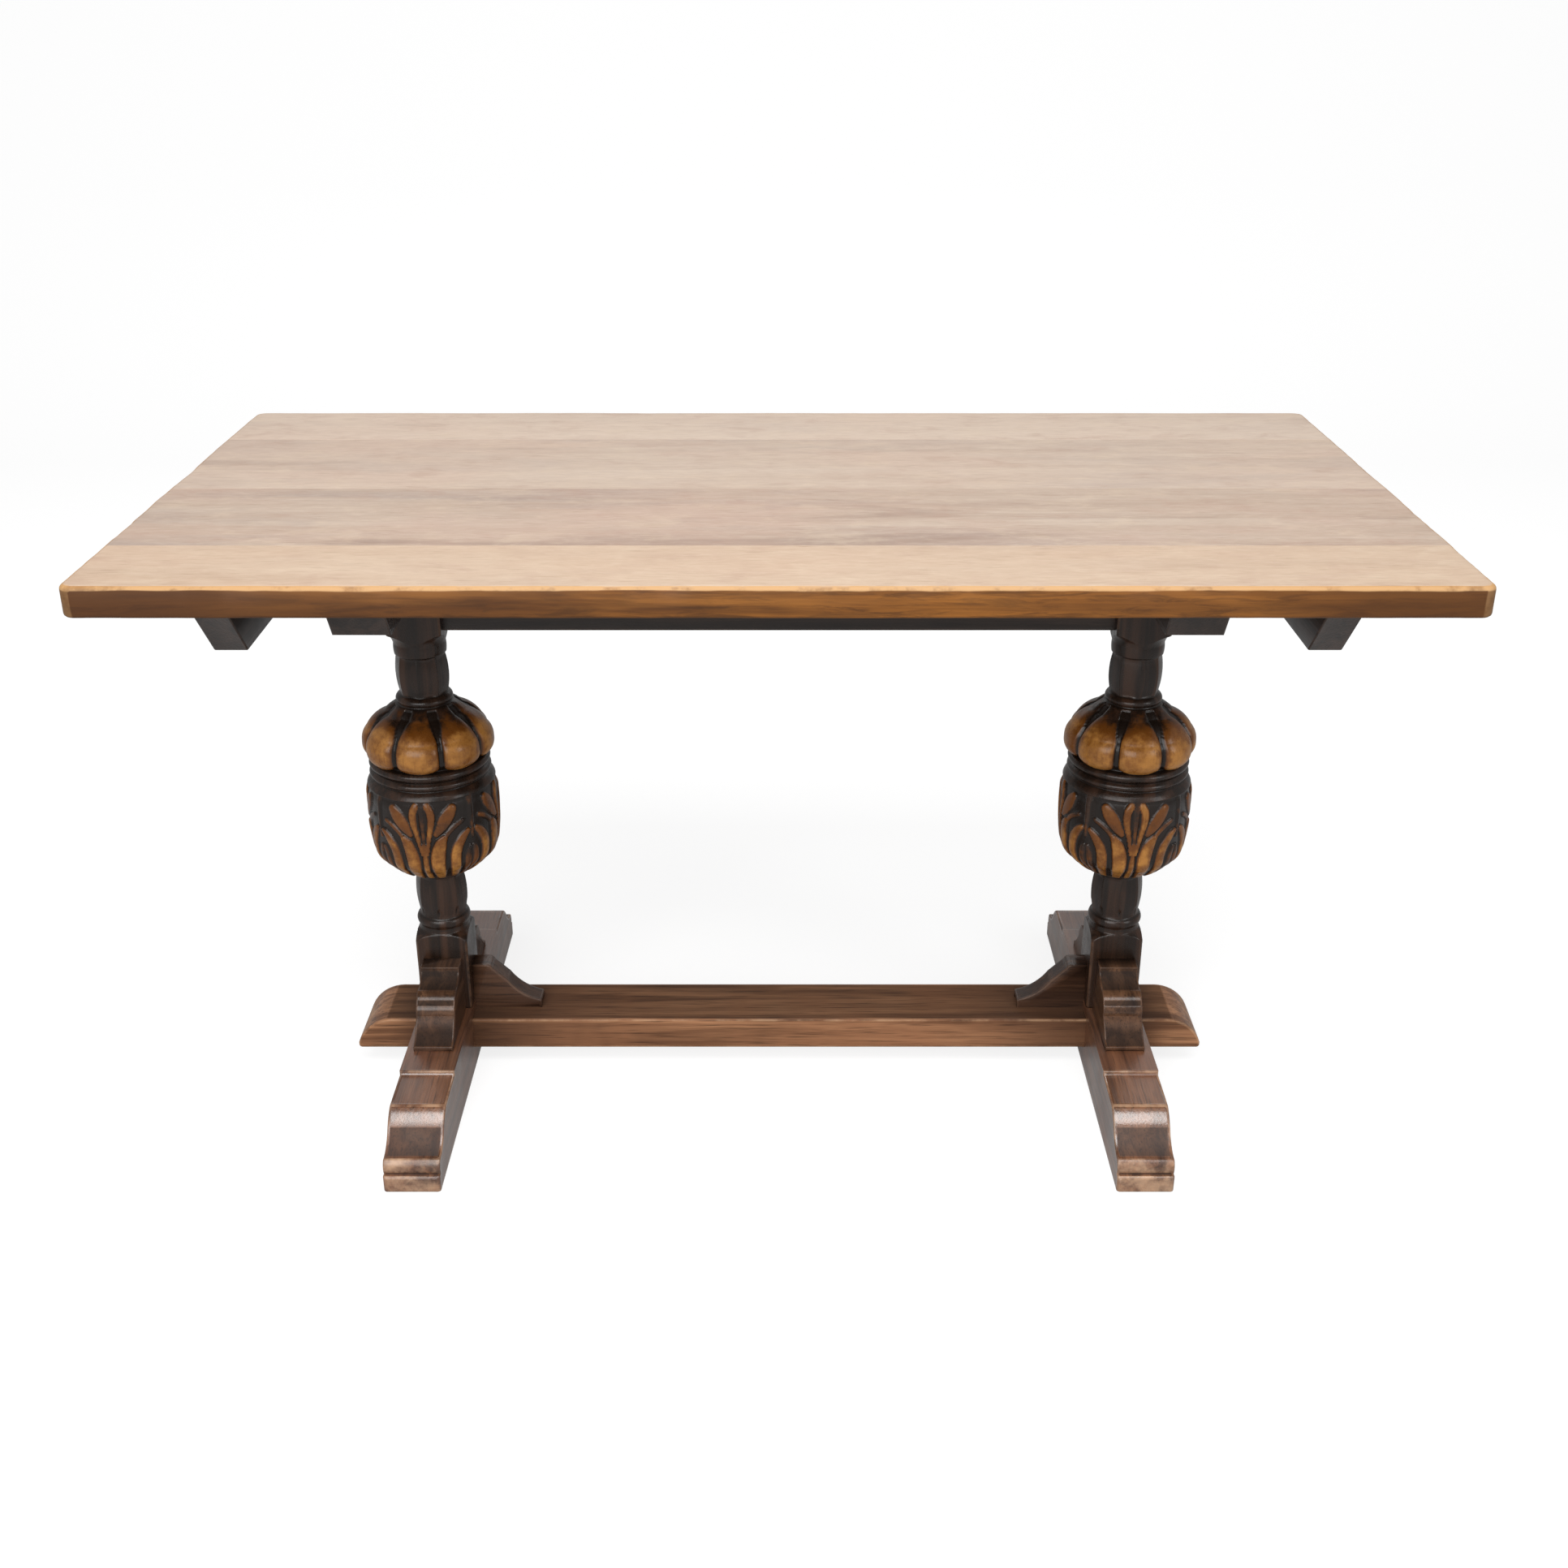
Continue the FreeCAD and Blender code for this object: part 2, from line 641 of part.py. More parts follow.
def foot(label, x):
    """A sledge foot with moulded toes, mortised for the stretcher and the leg."""
    body = new_body(label)
    half = size("foot_length") / 2
    toe = size("foot_toe_height")
    toe_end = half - size("foot_toe_setback")
    roll_end = half - size("foot_roll_setback")
    roll_bow = size("foot_roll_bow")
    sole = size("foot_sole_height")
    nose = size("foot_nose_place")
    nose_level = size("foot_nose_height")
    nose_front = nose + size("foot_nose_reach")
    nose_low = nose_level - size("foot_nose_drop")
    ledge = size("foot_step_place")
    ledge_level = foot_top - size("foot_step")
    hollow = -size("foot_hollow_bow")
    nose_bow = size("foot_nose_bow")
    corners = [
        (-half, ZERO),
        (half, ZERO),
        (half, sole),
        (roll_end, sole),
        (toe_end, toe, roll_bow),
        (nose_front, nose_low, hollow),
        (nose, nose_level, nose_bow),
        (ledge, ledge_level),
        (ledge, foot_top),
        (-ledge, foot_top),
        (-ledge, ledge_level),
        (-nose, nose_level),
        (-nose_front, nose_low, nose_bow),
        (-toe_end, toe, hollow),
        (-roll_end, sole, roll_bow),
        (-half, sole),
    ]
    block = pad(body, outline(new_sketch(body, "YZ_Plane"), corners), size("foot_width"), symmetric=True)
    round_edges(body, block, toe_edges(block.Shape, half), size("foot_sole_round"))
    slot_half = size("stretcher_width") / 2 + clearance
    slot = new_sketch(body, "YZ_Plane")
    rectangle(slot, -slot_half, slot_half, stretcher_low, stretcher_top + clearance)
    cut(body, slot, size("foot_width"))
    mortise_half = size("leg_foot_tenon") / 2 + clearance
    mortise = new_sketch(body, "XY_Plane", foot_top)
    rectangle(mortise, -mortise_half, mortise_half, -mortise_half, mortise_half)
    cut(body, mortise, size("leg_foot_tenon_length") + clearance)
    dowel_place = block_half + size("foot_bracket_dowel_place")
    bore = size("bracket_dowel_diameter") + clearance * 2
    holes = circles(new_sketch(body, "XY_Plane", foot_top), [(ZERO, -dowel_place), (ZERO, dowel_place)], bore)
    cut(body, holes, size("bracket_dowel_length") / 2 + clearance)
    place(body, x)
    return body


def stretcher():
    """The low plank through both feet, rounded over at its ends and mortised for the leg tenons."""
    body = new_body("stretcher")
    half = leg_place + size("stretcher_tail")
    nose = half - size("stretcher_nose_length")
    lip = stretcher_top - size("stretcher_nose_height")
    edge = size("stretcher_nose_round")
    edge_bow = edge * QUARTER_BOW_SHARE
    bow = size("stretcher_nose_bow")
    corners = [
        (-(half - edge), stretcher_low, edge_bow),
        (half - edge, stretcher_low),
        (half, stretcher_low + edge, edge_bow),
        (half, lip),
        (nose, stretcher_top, bow),
        (-nose, stretcher_top),
        (-half, lip, bow),
        (-half, stretcher_low + edge),
    ]
    pad(body, outline(new_sketch(body, "XZ_Plane"), corners), size("stretcher_width"), symmetric=True)
    mortise_half = size("leg_foot_tenon") / 2 + clearance
    bracket_place = leg_place - block_half - size("stretcher_bracket_dowel_place")
    bore = size("bracket_dowel_diameter") + clearance * 2
    for side in (-1, 1):
        middle = leg_place * side
        mortise = new_sketch(body, "XY_Plane", stretcher_top)
        rectangle(mortise, middle - mortise_half, middle + mortise_half, -mortise_half, mortise_half)
        cut(body, mortise, size("stretcher_thickness") + overrun)
        hole = circles(new_sketch(body, "XY_Plane", stretcher_top), [(bracket_place * side, ZERO)], bore)
        cut(body, hole, size("bracket_dowel_length") / 2 + clearance)
    return body


def bracket_bores(body, plane, prefix, low):
    """Bores a bracket for the dowel below it and the dowel into the leg block."""
    bore = size("bracket_dowel_diameter") + clearance * 2
    depth = size("bracket_dowel_length") / 2 + clearance
    along = block_half + size(f"{prefix}_dowel_place")
    below = (along, ZERO) if plane == "YZ_Plane" else (ZERO, along)
    cut(body, circles(new_sketch(body, "XY_Plane", low), [below], bore), depth)
    behind = [(ZERO, low + size(f"{prefix}_dowel_height"))]
    offset = block_half if plane == "YZ_Plane" else -block_half
    cut(body, circles(new_sketch(body, plane, offset), behind, bore), depth)


def foot_bracket(label, x, turn):
    """A moulded bracket that stands on a foot against the leg block. Its own toe points to +Y."""
    body = new_body(label)
    length = size("foot_bracket_length")
    height = size("foot_bracket_height")
    toe = block_half + length
    top = foot_top + height
    shelf = block_half + size("foot_bracket_shelf")
    fillet = top - size("foot_bracket_fillet")
    hollow = -size("foot_bracket_hollow_bow")
    nose_bow = size("foot_bracket_nose_bow")

    def point(shares):
        return block_half + length * shares[0], foot_top + height * shares[1]

    nose_top, nose_front, nose_low = (point(shares) for shares in FOOT_BRACKET_NOSE_SHARES)
    corners = [
        (block_half, foot_top),
        (toe, foot_top),
        (toe, foot_top + size("foot_bracket_toe")),
        (*point(FOOT_BRACKET_TOE_SHARES), hollow / 2),
        nose_low,
        (*nose_front, nose_bow),
        (*nose_top, nose_bow),
        (shelf, fillet, hollow),
        (shelf, top),
        (block_half, top),
    ]
    side = outline(new_sketch(body, "YZ_Plane"), corners)
    pad(body, side, size("foot_bracket_width"), symmetric=True)
    bracket_bores(body, "XZ_Plane", "foot_bracket", foot_top)
    place(body, x, turn=turn)
    return body


def stretcher_bracket(label, x, turn):
    """An ogee bracket on the stretcher against the leg block. Its own toe points to +X."""
    body = new_body(label)
    length = size("stretcher_bracket_length")
    height = size("stretcher_bracket_height")
    toe = block_half + length
    top = stretcher_top + height

    def point(shares):
        return block_half + length * shares[0], stretcher_top + height * shares[1]

    crown, turn_point = (point(shares) for shares in STRETCHER_BRACKET_TURN_SHARES)
    corners = [
        (block_half, stretcher_top),
        (toe, stretcher_top),
        (toe, stretcher_top + size("stretcher_bracket_toe")),
        (*turn_point, -size("stretcher_bracket_hollow_bow")),
        crown,
        (block_half + size("stretcher_bracket_shelf"), top, size("stretcher_bracket_crown_bow")),
        (block_half, top),
    ]
    side = outline(new_sketch(body, "XZ_Plane"), corners)
    pad(body, side, size("stretcher_bracket_width"), symmetric=True)
    bracket_bores(body, "YZ_Plane", "stretcher_bracket", stretcher_top)
    place(body, x, turn=turn)
    return body


def rod(x, y, z, diameter, length, axis):
    """A round rod that starts at a point and runs along X, Y or Z."""
    turns = {
        "X": FreeCAD.Rotation(FreeCAD.Vector(0, 1, 0), 90),
        "Y": FreeCAD.Rotation(FreeCAD.Vector(1, 0, 0), -90),
        "Z": FreeCAD.Rotation(),
    }
    cylinder = doc.addObject("Part::Cylinder", "rod")
    bind(cylinder, "Radius", diameter / 2)
    bind(cylinder, "Height", length)
    place(cylinder, x, y, z)
    cylinder.Placement.Rotation = turns[axis]
    return cylinder


def group(label, members):
    """Like pieces that share one node, each a solid of its own."""
    compound = doc.addObject("Part::Compound", label)
    compound.Label = label
    compound.Links = members
    return compound


def board_dowels():
    diameter = size("board_dowel_diameter")
    length = size("board_dowel_length")
    members = []
    for joint in board_joints:
        for x in board_dowel_places:
            members.append(rod(x, joint - length / 2, top_middle_level, diameter, length, "Y"))
    return group("top_board_dowels", members)


def wood_screw(x, y):
    """A round-headed screw driven up from its seat in a cleat or bearer."""
    diameter = size("screw_diameter")
    head_height = size("screw_head_height")
    straight = size("screw_length") - size("screw_tip")
    shank = rod(x, y, screw_seat, diameter, straight, "Z")
    tip = doc.addObject("Part::Cone", "tip")
    bind(tip, "Radius1", diameter / 2)
    tip.Radius2 = 0
    bind(tip, "Height", size("screw_tip"))
    place(tip, x, y, screw_seat + straight)
    head = doc.addObject("Part::Cone", "head")
    bind(head, "Radius1", diameter / 2)
    bind(head, "Radius2", size("screw_head_diameter") / 2)
    bind(head, "Height", head_height)
    place(head, x, y, screw_seat - head_height)
    screw = doc.addObject("Part::MultiFuse", "screw")
    screw.Shapes = [head, shank, tip]
    return screw


def screws(label, spacing_half):
    members = [wood_screw(x, y) for x in (-spacing_half, spacing_half) for y in screw_rows]
    return group(label, members)


def bracket_dowels():
    """Dowels of the foot brackets and of the stretcher brackets, as two groups."""
    diameter = size("bracket_dowel_diameter")
    length = size("bracket_dowel_length")
    foot_group = []
    stretcher_group = []
    for side in (-1, 1):
        x = leg_place * side
        for end in (-1, 1):
            along = (block_half + size("foot_bracket_dowel_place")) * end
            foot_group.append(rod(x, along, foot_top - length / 2, diameter, length, "Z"))
            level = foot_top + size("foot_bracket_dowel_height")
            foot_group.append(rod(x, block_half * end - length / 2, level, diameter, length, "Y"))
        place_x = (leg_place - block_half - size("stretcher_bracket_dowel_place")) * side
        stretcher_group.append(rod(place_x, ZERO, stretcher_top - length / 2, diameter, length, "Z"))
        level = stretcher_top + size("stretcher_bracket_dowel_height")
        face = (leg_place - block_half) * side
        stretcher_group.append(rod(face - length / 2, ZERO, level, diameter, length, "X"))
    return [group("foot_bracket_dowels", foot_group), group("stretcher_bracket_dowels", stretcher_group)]


def build():
    """Makes every piece of the table."""
    nodes = []
    board_names = ("front", "front_middle", "rear_middle", "rear")
    for name, front, rear in zip(board_names, board_edges, board_edges[1:]):
        nodes.append(top_board(f"top_board_{name}", front, rear))
    nodes.append(board_dowels())
    for side_name, side, turn in (("left", -1, 0.0), ("right", 1, 180.0)):
        x = leg_place * side
        nodes.append(cross_piece(f"end_cleat_{side_name}", cleat_place * side, "cleat"))
        nodes.append(bearer(f"bearer_{side_name}", x))
        nodes.append(leg(f"leg_{side_name}", x, turn))
        nodes.append(foot(f"foot_{side_name}", x))
        nodes.append(foot_bracket(f"foot_bracket_{side_name}_front", x, 180.0))
        nodes.append(foot_bracket(f"foot_bracket_{side_name}_rear", x, 0.0))
        nodes.append(stretcher_bracket(f"stretcher_bracket_{side_name}", x, turn))
    nodes.append(screws("end_cleat_screws", cleat_place))
    nodes.append(screws("bearer_screws", leg_place))
    nodes.append(top_rail())
    nodes.append(stretcher())
    nodes += bracket_dowels()
    doc.recompute()
    return nodes


def check(nodes):
    """Stops before anything is written if an object failed."""
    for thing in doc.Objects:
        if "Invalid" in thing.State or "Error" in thing.State:
            raise RuntimeError(f"{thing.Name} failed: {thing.State}")
    for node in nodes:
        if node.Shape.isNull() or not node.Shape.isValid():
            raise RuntimeError(f"{node.Label} has no valid shape")


def write(nodes):
    os.makedirs("parts", exist_ok=True)
    for node in nodes:
        node.Shape.exportStep(f"parts/{node.Label}.step")
        print(f"{node.Label}: {len(node.Shape.Solids)} solid, {node.Shape.Volume:.0f} mm3")


pieces = build()
check(pieces)
write(pieces)
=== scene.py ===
# %% [markdown]
# # An oak refectory table
# The table is a plank top on two turned "cup and cover" legs, with sledge feet and one low stretcher.
# The CAD model already holds every joint and size, so this file only dresses it: it eases the edges,
# carves the legs and gives the oak its stain, wax and wear. The table's lengths are in millimetres, as a
# joiner writes them, and MM turns them into Blender's metres. The studio round it is in metres.

# %% Load the CAD frame
import functools
import math

import bmesh
import bpy
import numpy as np
from mathutils import Matrix, Vector, noise
from mathutils.bvhtree import BVHTree


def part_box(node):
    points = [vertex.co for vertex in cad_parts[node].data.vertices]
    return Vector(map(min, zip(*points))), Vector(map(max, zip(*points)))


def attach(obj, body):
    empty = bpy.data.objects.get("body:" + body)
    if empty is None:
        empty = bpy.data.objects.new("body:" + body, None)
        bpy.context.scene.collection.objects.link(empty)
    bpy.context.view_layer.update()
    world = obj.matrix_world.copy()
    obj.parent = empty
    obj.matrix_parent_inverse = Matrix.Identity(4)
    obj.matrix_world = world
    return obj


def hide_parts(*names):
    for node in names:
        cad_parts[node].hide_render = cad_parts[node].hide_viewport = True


MM = 0.001
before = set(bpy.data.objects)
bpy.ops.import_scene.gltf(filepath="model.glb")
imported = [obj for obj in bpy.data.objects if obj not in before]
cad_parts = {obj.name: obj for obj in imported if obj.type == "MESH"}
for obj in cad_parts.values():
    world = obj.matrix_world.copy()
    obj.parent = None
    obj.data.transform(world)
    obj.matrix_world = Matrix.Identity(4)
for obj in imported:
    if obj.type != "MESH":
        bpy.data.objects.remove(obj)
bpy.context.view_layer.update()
scene = bpy.context.scene

# %% [markdown]
# ## Camera
# The picture was taken from a little over two metres away, above the table and looking down at it. A
# camera fitted to the picture gave the focal length, the tilt and the height, so it is simply placed
# there. Sensor Fit is set to Horizontal so that the square picture keeps that lens.

# %% Camera
CAMERA_PLACE = (0.006, -1.9826, 1.2888)
CAMERA_LENS = 41.14
DEGREES_DOWN = 24.66
camera_data = bpy.data.cameras.new("camera")
camera_data.sensor_fit = "HORIZONTAL"
camera_data.sensor_width = 36.0
camera_data.lens = CAMERA_LENS
camera_data.clip_end = 100.0
camera = bpy.data.objects.new("camera", camera_data)
camera.location = CAMERA_PLACE
camera.rotation_euler = (math.radians(90.0 - DEGREES_DOWN), 0.0, 0.0)
scene.collection.objects.link(camera)
scene.camera = camera
print("camera at", tuple(camera.location))

# %% Node helpers
def put(tree, socket, value):
    """Links a socket to another node's output, or sets it to a plain value."""
    if isinstance(value, bpy.types.NodeSocket):
        tree.links.new(value, socket)
    else:
        socket.default_value = value


def add_node(tree, kind, inputs, **settings):
    """Adds a node with these settings, and links or sets the inputs that are given."""
    node = tree.nodes.new(kind)
    for name, value in settings.items():
        setattr(node, name, value)
    for key, value in inputs.items():
        put(tree, node.inputs[key], value)
    return node


def math_node(tree, operation, *values):
    """Adds a Math node and returns its output."""
    return add_node(tree, "ShaderNodeMath", dict(enumerate(values)), operation=operation).outputs[0]


print("helpers for shader and geometry nodes are ready")

# %% [markdown]
# ## Floor and light
# A studio sweep is one sheet that is floor in front and wall behind. The paper is grey, but it glows for
# camera rays, so it looks white in the picture while the lamps stay at a level where the wood shows its
# own colours. The grey part keeps the soft shadow under the table. Reflections see a little of the glow,
# as they would in a real studio.

# %% Studio paper
PAPER_GREY = 0.32
PAPER_GLOW = {"Is Camera Ray": 0.8, "Is Glossy Ray": 0.2}


def studio_paper():
    """Paper that shows white to the camera and pale to glossy reflections."""
    paper = bpy.data.materials.new("studio_paper")
    paper.use_nodes = True
    tree = paper.node_tree
    tree.nodes.clear()
    path = tree.nodes.new("ShaderNodeLightPath")
    strength = 0.0
    for ray, share in PAPER_GLOW.items():
        strength = math_node(tree, "MULTIPLY_ADD", path.outputs[ray], share, strength)
    glow = add_node(tree, "ShaderNodeEmission", {"Strength": strength})
    grey = (PAPER_GREY, PAPER_GREY, PAPER_GREY, 1.0)
    diffuse = add_node(tree, "ShaderNodeBsdfDiffuse", {"Color": grey})
    both = add_node(tree, "ShaderNodeAddShader", {0: diffuse.outputs[0], 1: glow.outputs[0]})
    add_node(tree, "ShaderNodeOutputMaterial", {"Surface": both.outputs[0]})
    return paper


PAPER = studio_paper()
print("paper:", PAPER.name)

# %% Studio sweep
# Sizes in metres: the front end, where the bend starts, its radius, the top and half the width.
SWEEP_FRONT = -9.0
SWEEP_BEND = 3.0
SWEEP_RADIUS = 2.0
SWEEP_TOP = 9.0
SWEEP_HALF_WIDTH = 12.0


def studio_sweep():
    """Floor, a quarter round and a wall in one smooth strip."""
    profile = [(SWEEP_FRONT, 0.0), (SWEEP_BEND, 0.0)]
    for angle in np.linspace(0.1, math.pi / 2, 16):
        height = SWEEP_RADIUS - SWEEP_RADIUS * math.cos(angle)
        profile.append((SWEEP_BEND + SWEEP_RADIUS * math.sin(angle), height))
    profile.append((SWEEP_BEND + SWEEP_RADIUS, SWEEP_TOP))
    verts = [(x, y, z) for y, z in profile for x in (-SWEEP_HALF_WIDTH, SWEEP_HALF_WIDTH)]
    faces = [(2 * i, 2 * i + 1, 2 * i + 3, 2 * i + 2) for i in range(len(profile) - 1)]
    mesh = bpy.data.meshes.new("studio_sweep")
    mesh.from_pydata(verts, [], faces)
    mesh.polygons.foreach_set("use_smooth", [True] * len(faces))
    mesh.materials.append(PAPER)
    sweep = bpy.data.objects.new("studio_sweep", mesh)
    scene.collection.objects.link(sweep)
    return sweep


print("sweep:", len(studio_sweep().data.polygons), "faces")

# %% Lamps and world
LAMPS = {
    # name: (place, aim, width and height of the soft box, watts)
    "ceiling_light": ((0.0, -1.5, 3.0), (0.0, -0.1, 0.4), (2.6, 1.8), 84.0),
    "front_light": ((-1.3, -3.4, 1.9), (0.0, 0.0, 0.3), (3.0, 2.0), 80.0),
    "window_light": ((2.6, -2.0, 1.6), (0.0, 0.0, 0.4), (1.0, 1.6), 22.0),
    "back_light": ((0.0, 3.6, 2.4), (0.0, 0.0, 0.75), (4.4, 1.6), 14.0),
}
AIR_STRENGTH = 0.42


def soft_lamp(name, place, aim, size, watts):
    """A soft box that looks at a point."""
    data = bpy.data.lights.new(name, "AREA")
    data.shape = "RECTANGLE"
    data.size, data.size_y = size
    data.energy = watts
    lamp = bpy.data.objects.new(name, data)
    lamp.location = place
    lamp.rotation_euler = (Vector(aim) - Vector(place)).to_track_quat("-Z", "Y").to_euler()
    scene.collection.objects.link(lamp)


for name, row in LAMPS.items():
    soft_lamp(name, *row)
world = bpy.data.worlds.new("studio_air")
world.use_nodes = True
air = world.node_tree.nodes["Background"]
air.inputs["Color"].default_value = (1.0, 1.0, 1.0, 1.0)
air.inputs["Strength"].default_value = AIR_STRENGTH
scene.world = world
scene.view_settings.view_transform = "Standard"
print("lamps:", ", ".join(LAMPS))

# %% [markdown]
# ## Oak
# All the wood is oak, so one recipe serves every piece: long noise along the grain for the growth
# bands, a finer one for the open pores, and a cloudy noise for the uneven stain. Object coordinates are
# the table's own metres here, because every piece keeps its place in its mesh, so a Mapping node only
# has to stretch the pattern along X, Y or Z to turn the grain.
#
# Mesh attributes steer the finish. "wear" is up to 1 on a rubbed arris and 0 on plain wood. Below 0,
# down to -1, it is painted shade in inner corners, in the hollows of mouldings and on the top of the
# stretcher, and dirt in glued joints. "rub" is how far the carving was rubbed back to golden wood, and
# "deep" is how dark its hollows are. "side" tells the edge of the top from its face and climbs towards 2
# for painted shade near the ends of the edge. "board" counts the boards of the top from the front.

# %% Shade: one wood material
class Shade:
    """Short hand for building one node material."""

    def __init__(self, name):
        self.material = bpy.data.materials.new(name)
        self.material.use_nodes = True
        self.tree = self.material.node_tree
        self.tree.nodes.clear()
        self.surface = self.tree.nodes.new("ShaderNodeBsdfPrincipled")
        self.add("ShaderNodeOutputMaterial", {"Surface": self.surface.outputs[0]})
        self.coords = self.tree.nodes.new("ShaderNodeTexCoord").outputs["Object"]

    def add(self, kind, inputs, **settings):
        return add_node(self.tree, kind, inputs, **settings)

    def calc(self, operation, a, b):
        return math_node(self.tree, operation, a, b)

    def attribute(self, name):
        return self.add("ShaderNodeAttribute", {}, attribute_name=name).outputs["Fac"]

    def stretch(self, scale):
        """Coordinates that draw a pattern out along the axis with the small scale."""
        return self.add("ShaderNodeMapping", {"Scale": scale, "Vector": self.coords}).outputs[0]

    def shift(self, amount, step):
        """Slides the pattern by a step times an amount, so that no two boards share a figure."""
        sockets = {0: amount, 1: step, 2: self.coords}
        self.coords = self.add("ShaderNodeVectorMath", sockets, operation="MULTIPLY_ADD").outputs[0]

    def wave(self, scale, bend, detail, where):
        sockets = {"Scale": scale, "Distortion": bend, "Detail": detail, "Vector": where}
        return self.add("ShaderNodeTexWave", sockets, bands_direction="Y").outputs["Fac"]

    def noise(self, scale, detail, rough, bend=0.0, where=None):
        sockets = {"Scale": scale, "Detail": detail, "Roughness": rough, "Distortion": bend}
        sockets["Vector"] = where or self.coords
        return self.add("ShaderNodeTexNoise", sockets).outputs[0]

    def ramp(self, value, start, full, to_start=0.0, to_full=1.0):
        """Leads a value from one range to another on a smooth S. The start may be the larger end."""
        sockets = {"From Min": start, "From Max": full, "To Min": to_start, "To Max": to_full}
        sockets["Value"] = value
        return self.add("ShaderNodeMapRange", sockets, interpolation_type="SMOOTHSTEP").outputs[0]

    def blend(self, share, a, b):
        # A Mix node takes its colours in sockets 6 and 7 and gives the mixed colour in output 2.
        return self.add("ShaderNodeMix", {0: share, 6: a, 7: b}, data_type="RGBA").outputs[2]

    def lay(self, base, pattern, start, full, share, paint):
        """Lays a paint over the base where a pattern goes from start to full, up to a share."""
        return self.blend(self.ramp(pattern, start, full, 0.0, share), base, colour(*paint))

    def relief(self, height, strength, distance):
        sockets = {"Strength": strength, "Distance": distance, "Height": height}
        bump = self.add("ShaderNodeBump", sockets)
        put(self.tree, self.surface.inputs["Normal"], bump.outputs[0])

    def finish(self, paint, roughness, gloss, coat, coat_roughness):
        """Sets the surface and returns the material. Gloss and coat roughness are plain numbers."""
        sockets = {"Base Color": paint, "Roughness": roughness, "Specular IOR Level": gloss}
        sockets.update({"Coat Weight": coat, "Coat Roughness": coat_roughness})
        for name, value in sockets.items():
            put(self.tree, self.surface.inputs[name], value)
        return self.material


def colour(red, green, blue):
    """An sRGB colour as a painter reads it off a card, in Blender's linear values."""
    shares = [value / 255 for value in (red, green, blue)]
    linear = [s / 12.92 if s <= 0.04045 else ((s + 0.055) / 1.055) ** 2.4 for s in shares]
    return (*linear, 1.0)


GRAIN = {"X": (0.035, 1.0, 1.0), "Y": (1.0, 0.035, 1.0), "Z": (1.0, 1.0, 0.035)}
print("grain directions:", ", ".join(GRAIN))

# %% Dark stained oak of the base
STAINS = {
    # name: (deep stain, open stain, clouds, rubbed arris, gloss, coat of wax)
    "waxed": ((66, 42, 29), (128, 87, 61), (108, 66, 44), (196, 158, 126), 0.8, 1.0),
    "trodden": ((106, 71, 49), (184, 133, 96), (154, 106, 75), (186, 148, 114), 0.2, 0.0),
    "brown": ((52, 35, 25), (104, 73, 52), (80, 53, 38), (84, 60, 45), 0.25, 0.35),
    "dark": ((44, 30, 23), (92, 64, 47), (64, 43, 32), (104, 78, 60), 0.4, 0.15),
    # The deep stain is the dark stain made darker, as painted shade for the rail, bearers and cleats
    # under the top.
    "deep": ((30, 22, 18), (64, 48, 40), (45, 34, 28), (74, 58, 48), 0.36, 0.1),
}
PORE_BROWN = (28, 18, 13)
# The next brown is dirt in glued joints and painted shade in corners, hollows and on the stretcher top.
SHADE_AND_JOINT_BROWN = (20, 14, 11)
LEG_SHADE_BROWN = (66, 45, 33)


def shade_beside_legs(shade):
    """Share of painted shade along the stretcher, darkest beside the legs."""
    place = shade.add("ShaderNodeSeparateXYZ", {0: shade.coords})
    far = shade.calc("ABSOLUTE", place.outputs["X"], 0.0)
    return shade.calc("MULTIPLY", shade.ramp(far, 0.18, 0.4, 0.0, 0.7), shade.ramp(far, 0.5, 0.45))


@functools.cache
def dark_oak(stain_name, grain):
    """Old dark stain on reddish oak: pale on worn arrises, shiny on swells, rough with painted shade in
    hollows.
    """
    shade = Shade(f"{stain_name}_oak_{grain.lower()}")
    deep_stain, open_stain, cloud, rubbed, gloss, coat = STAINS[stain_name]
    along = shade.stretch(GRAIN[grain])
    bands = shade.noise(52.0, 5.0, 0.62, 0.7, along)
    pores = shade.noise(430.0, 2.0, 0.6, 0.0, along)
    clouds = shade.noise(9.0, 3.0, 0.6)
    stain = shade.lay(colour(*deep_stain), bands, 0.34, 0.7, 1.0, open_stain)
    stain = shade.lay(stain, clouds, 0.36, 0.72, 0.7, cloud)
    stain = shade.lay(stain, pores, 0.5, 0.74, 0.6, PORE_BROWN)
    if stain_name == "trodden":
        # Painted shade on the stretcher beside the legs.
        stain = shade.blend(shade_beside_legs(shade), stain, colour(*LEG_SHADE_BROWN))
    wear = shade.attribute("wear")
    patches = shade.noise(26.0, 4.0, 0.65)
    bare = shade.calc("MULTIPLY", shade.ramp(wear, 0.2, 1.0, 0.0, 0.8), shade.ramp(patches, 0.38, 0.66))
    stain = shade.blend(bare, stain, colour(*rubbed))
    # Painted shade in hollows, inner corners and on the stretcher top; dirt in glued joints.
    stain = shade.lay(stain, wear, -0.1, -1.0, 0.8, SHADE_AND_JOINT_BROWN)
    shade.relief(shade.calc("ADD", pores, shade.calc("MULTIPLY", bands, 0.8)), 0.2, 0.0012)
    # The wax is thickest on swells, where wear is about 0.3, and gone from arrises and hollows.
    swell = shade.calc("MULTIPLY", shade.ramp(wear, -0.2, 0.3), shade.ramp(wear, 0.75, 0.4))
    roughness = shade.ramp(clouds, 0.3, 0.7, 0.34, 0.46)
    roughness = shade.calc("SUBTRACT", roughness, shade.calc("MULTIPLY", swell, 0.16))
    roughness = shade.calc("ADD", roughness, shade.ramp(wear, -0.1, -0.7, 0.0, 0.4))
    wax = shade.calc("MULTIPLY", swell, coat) if coat else 0.0
    return shade.finish(stain, roughness, gloss, wax, 0.2)


print("stains:", ", ".join(STAINS))

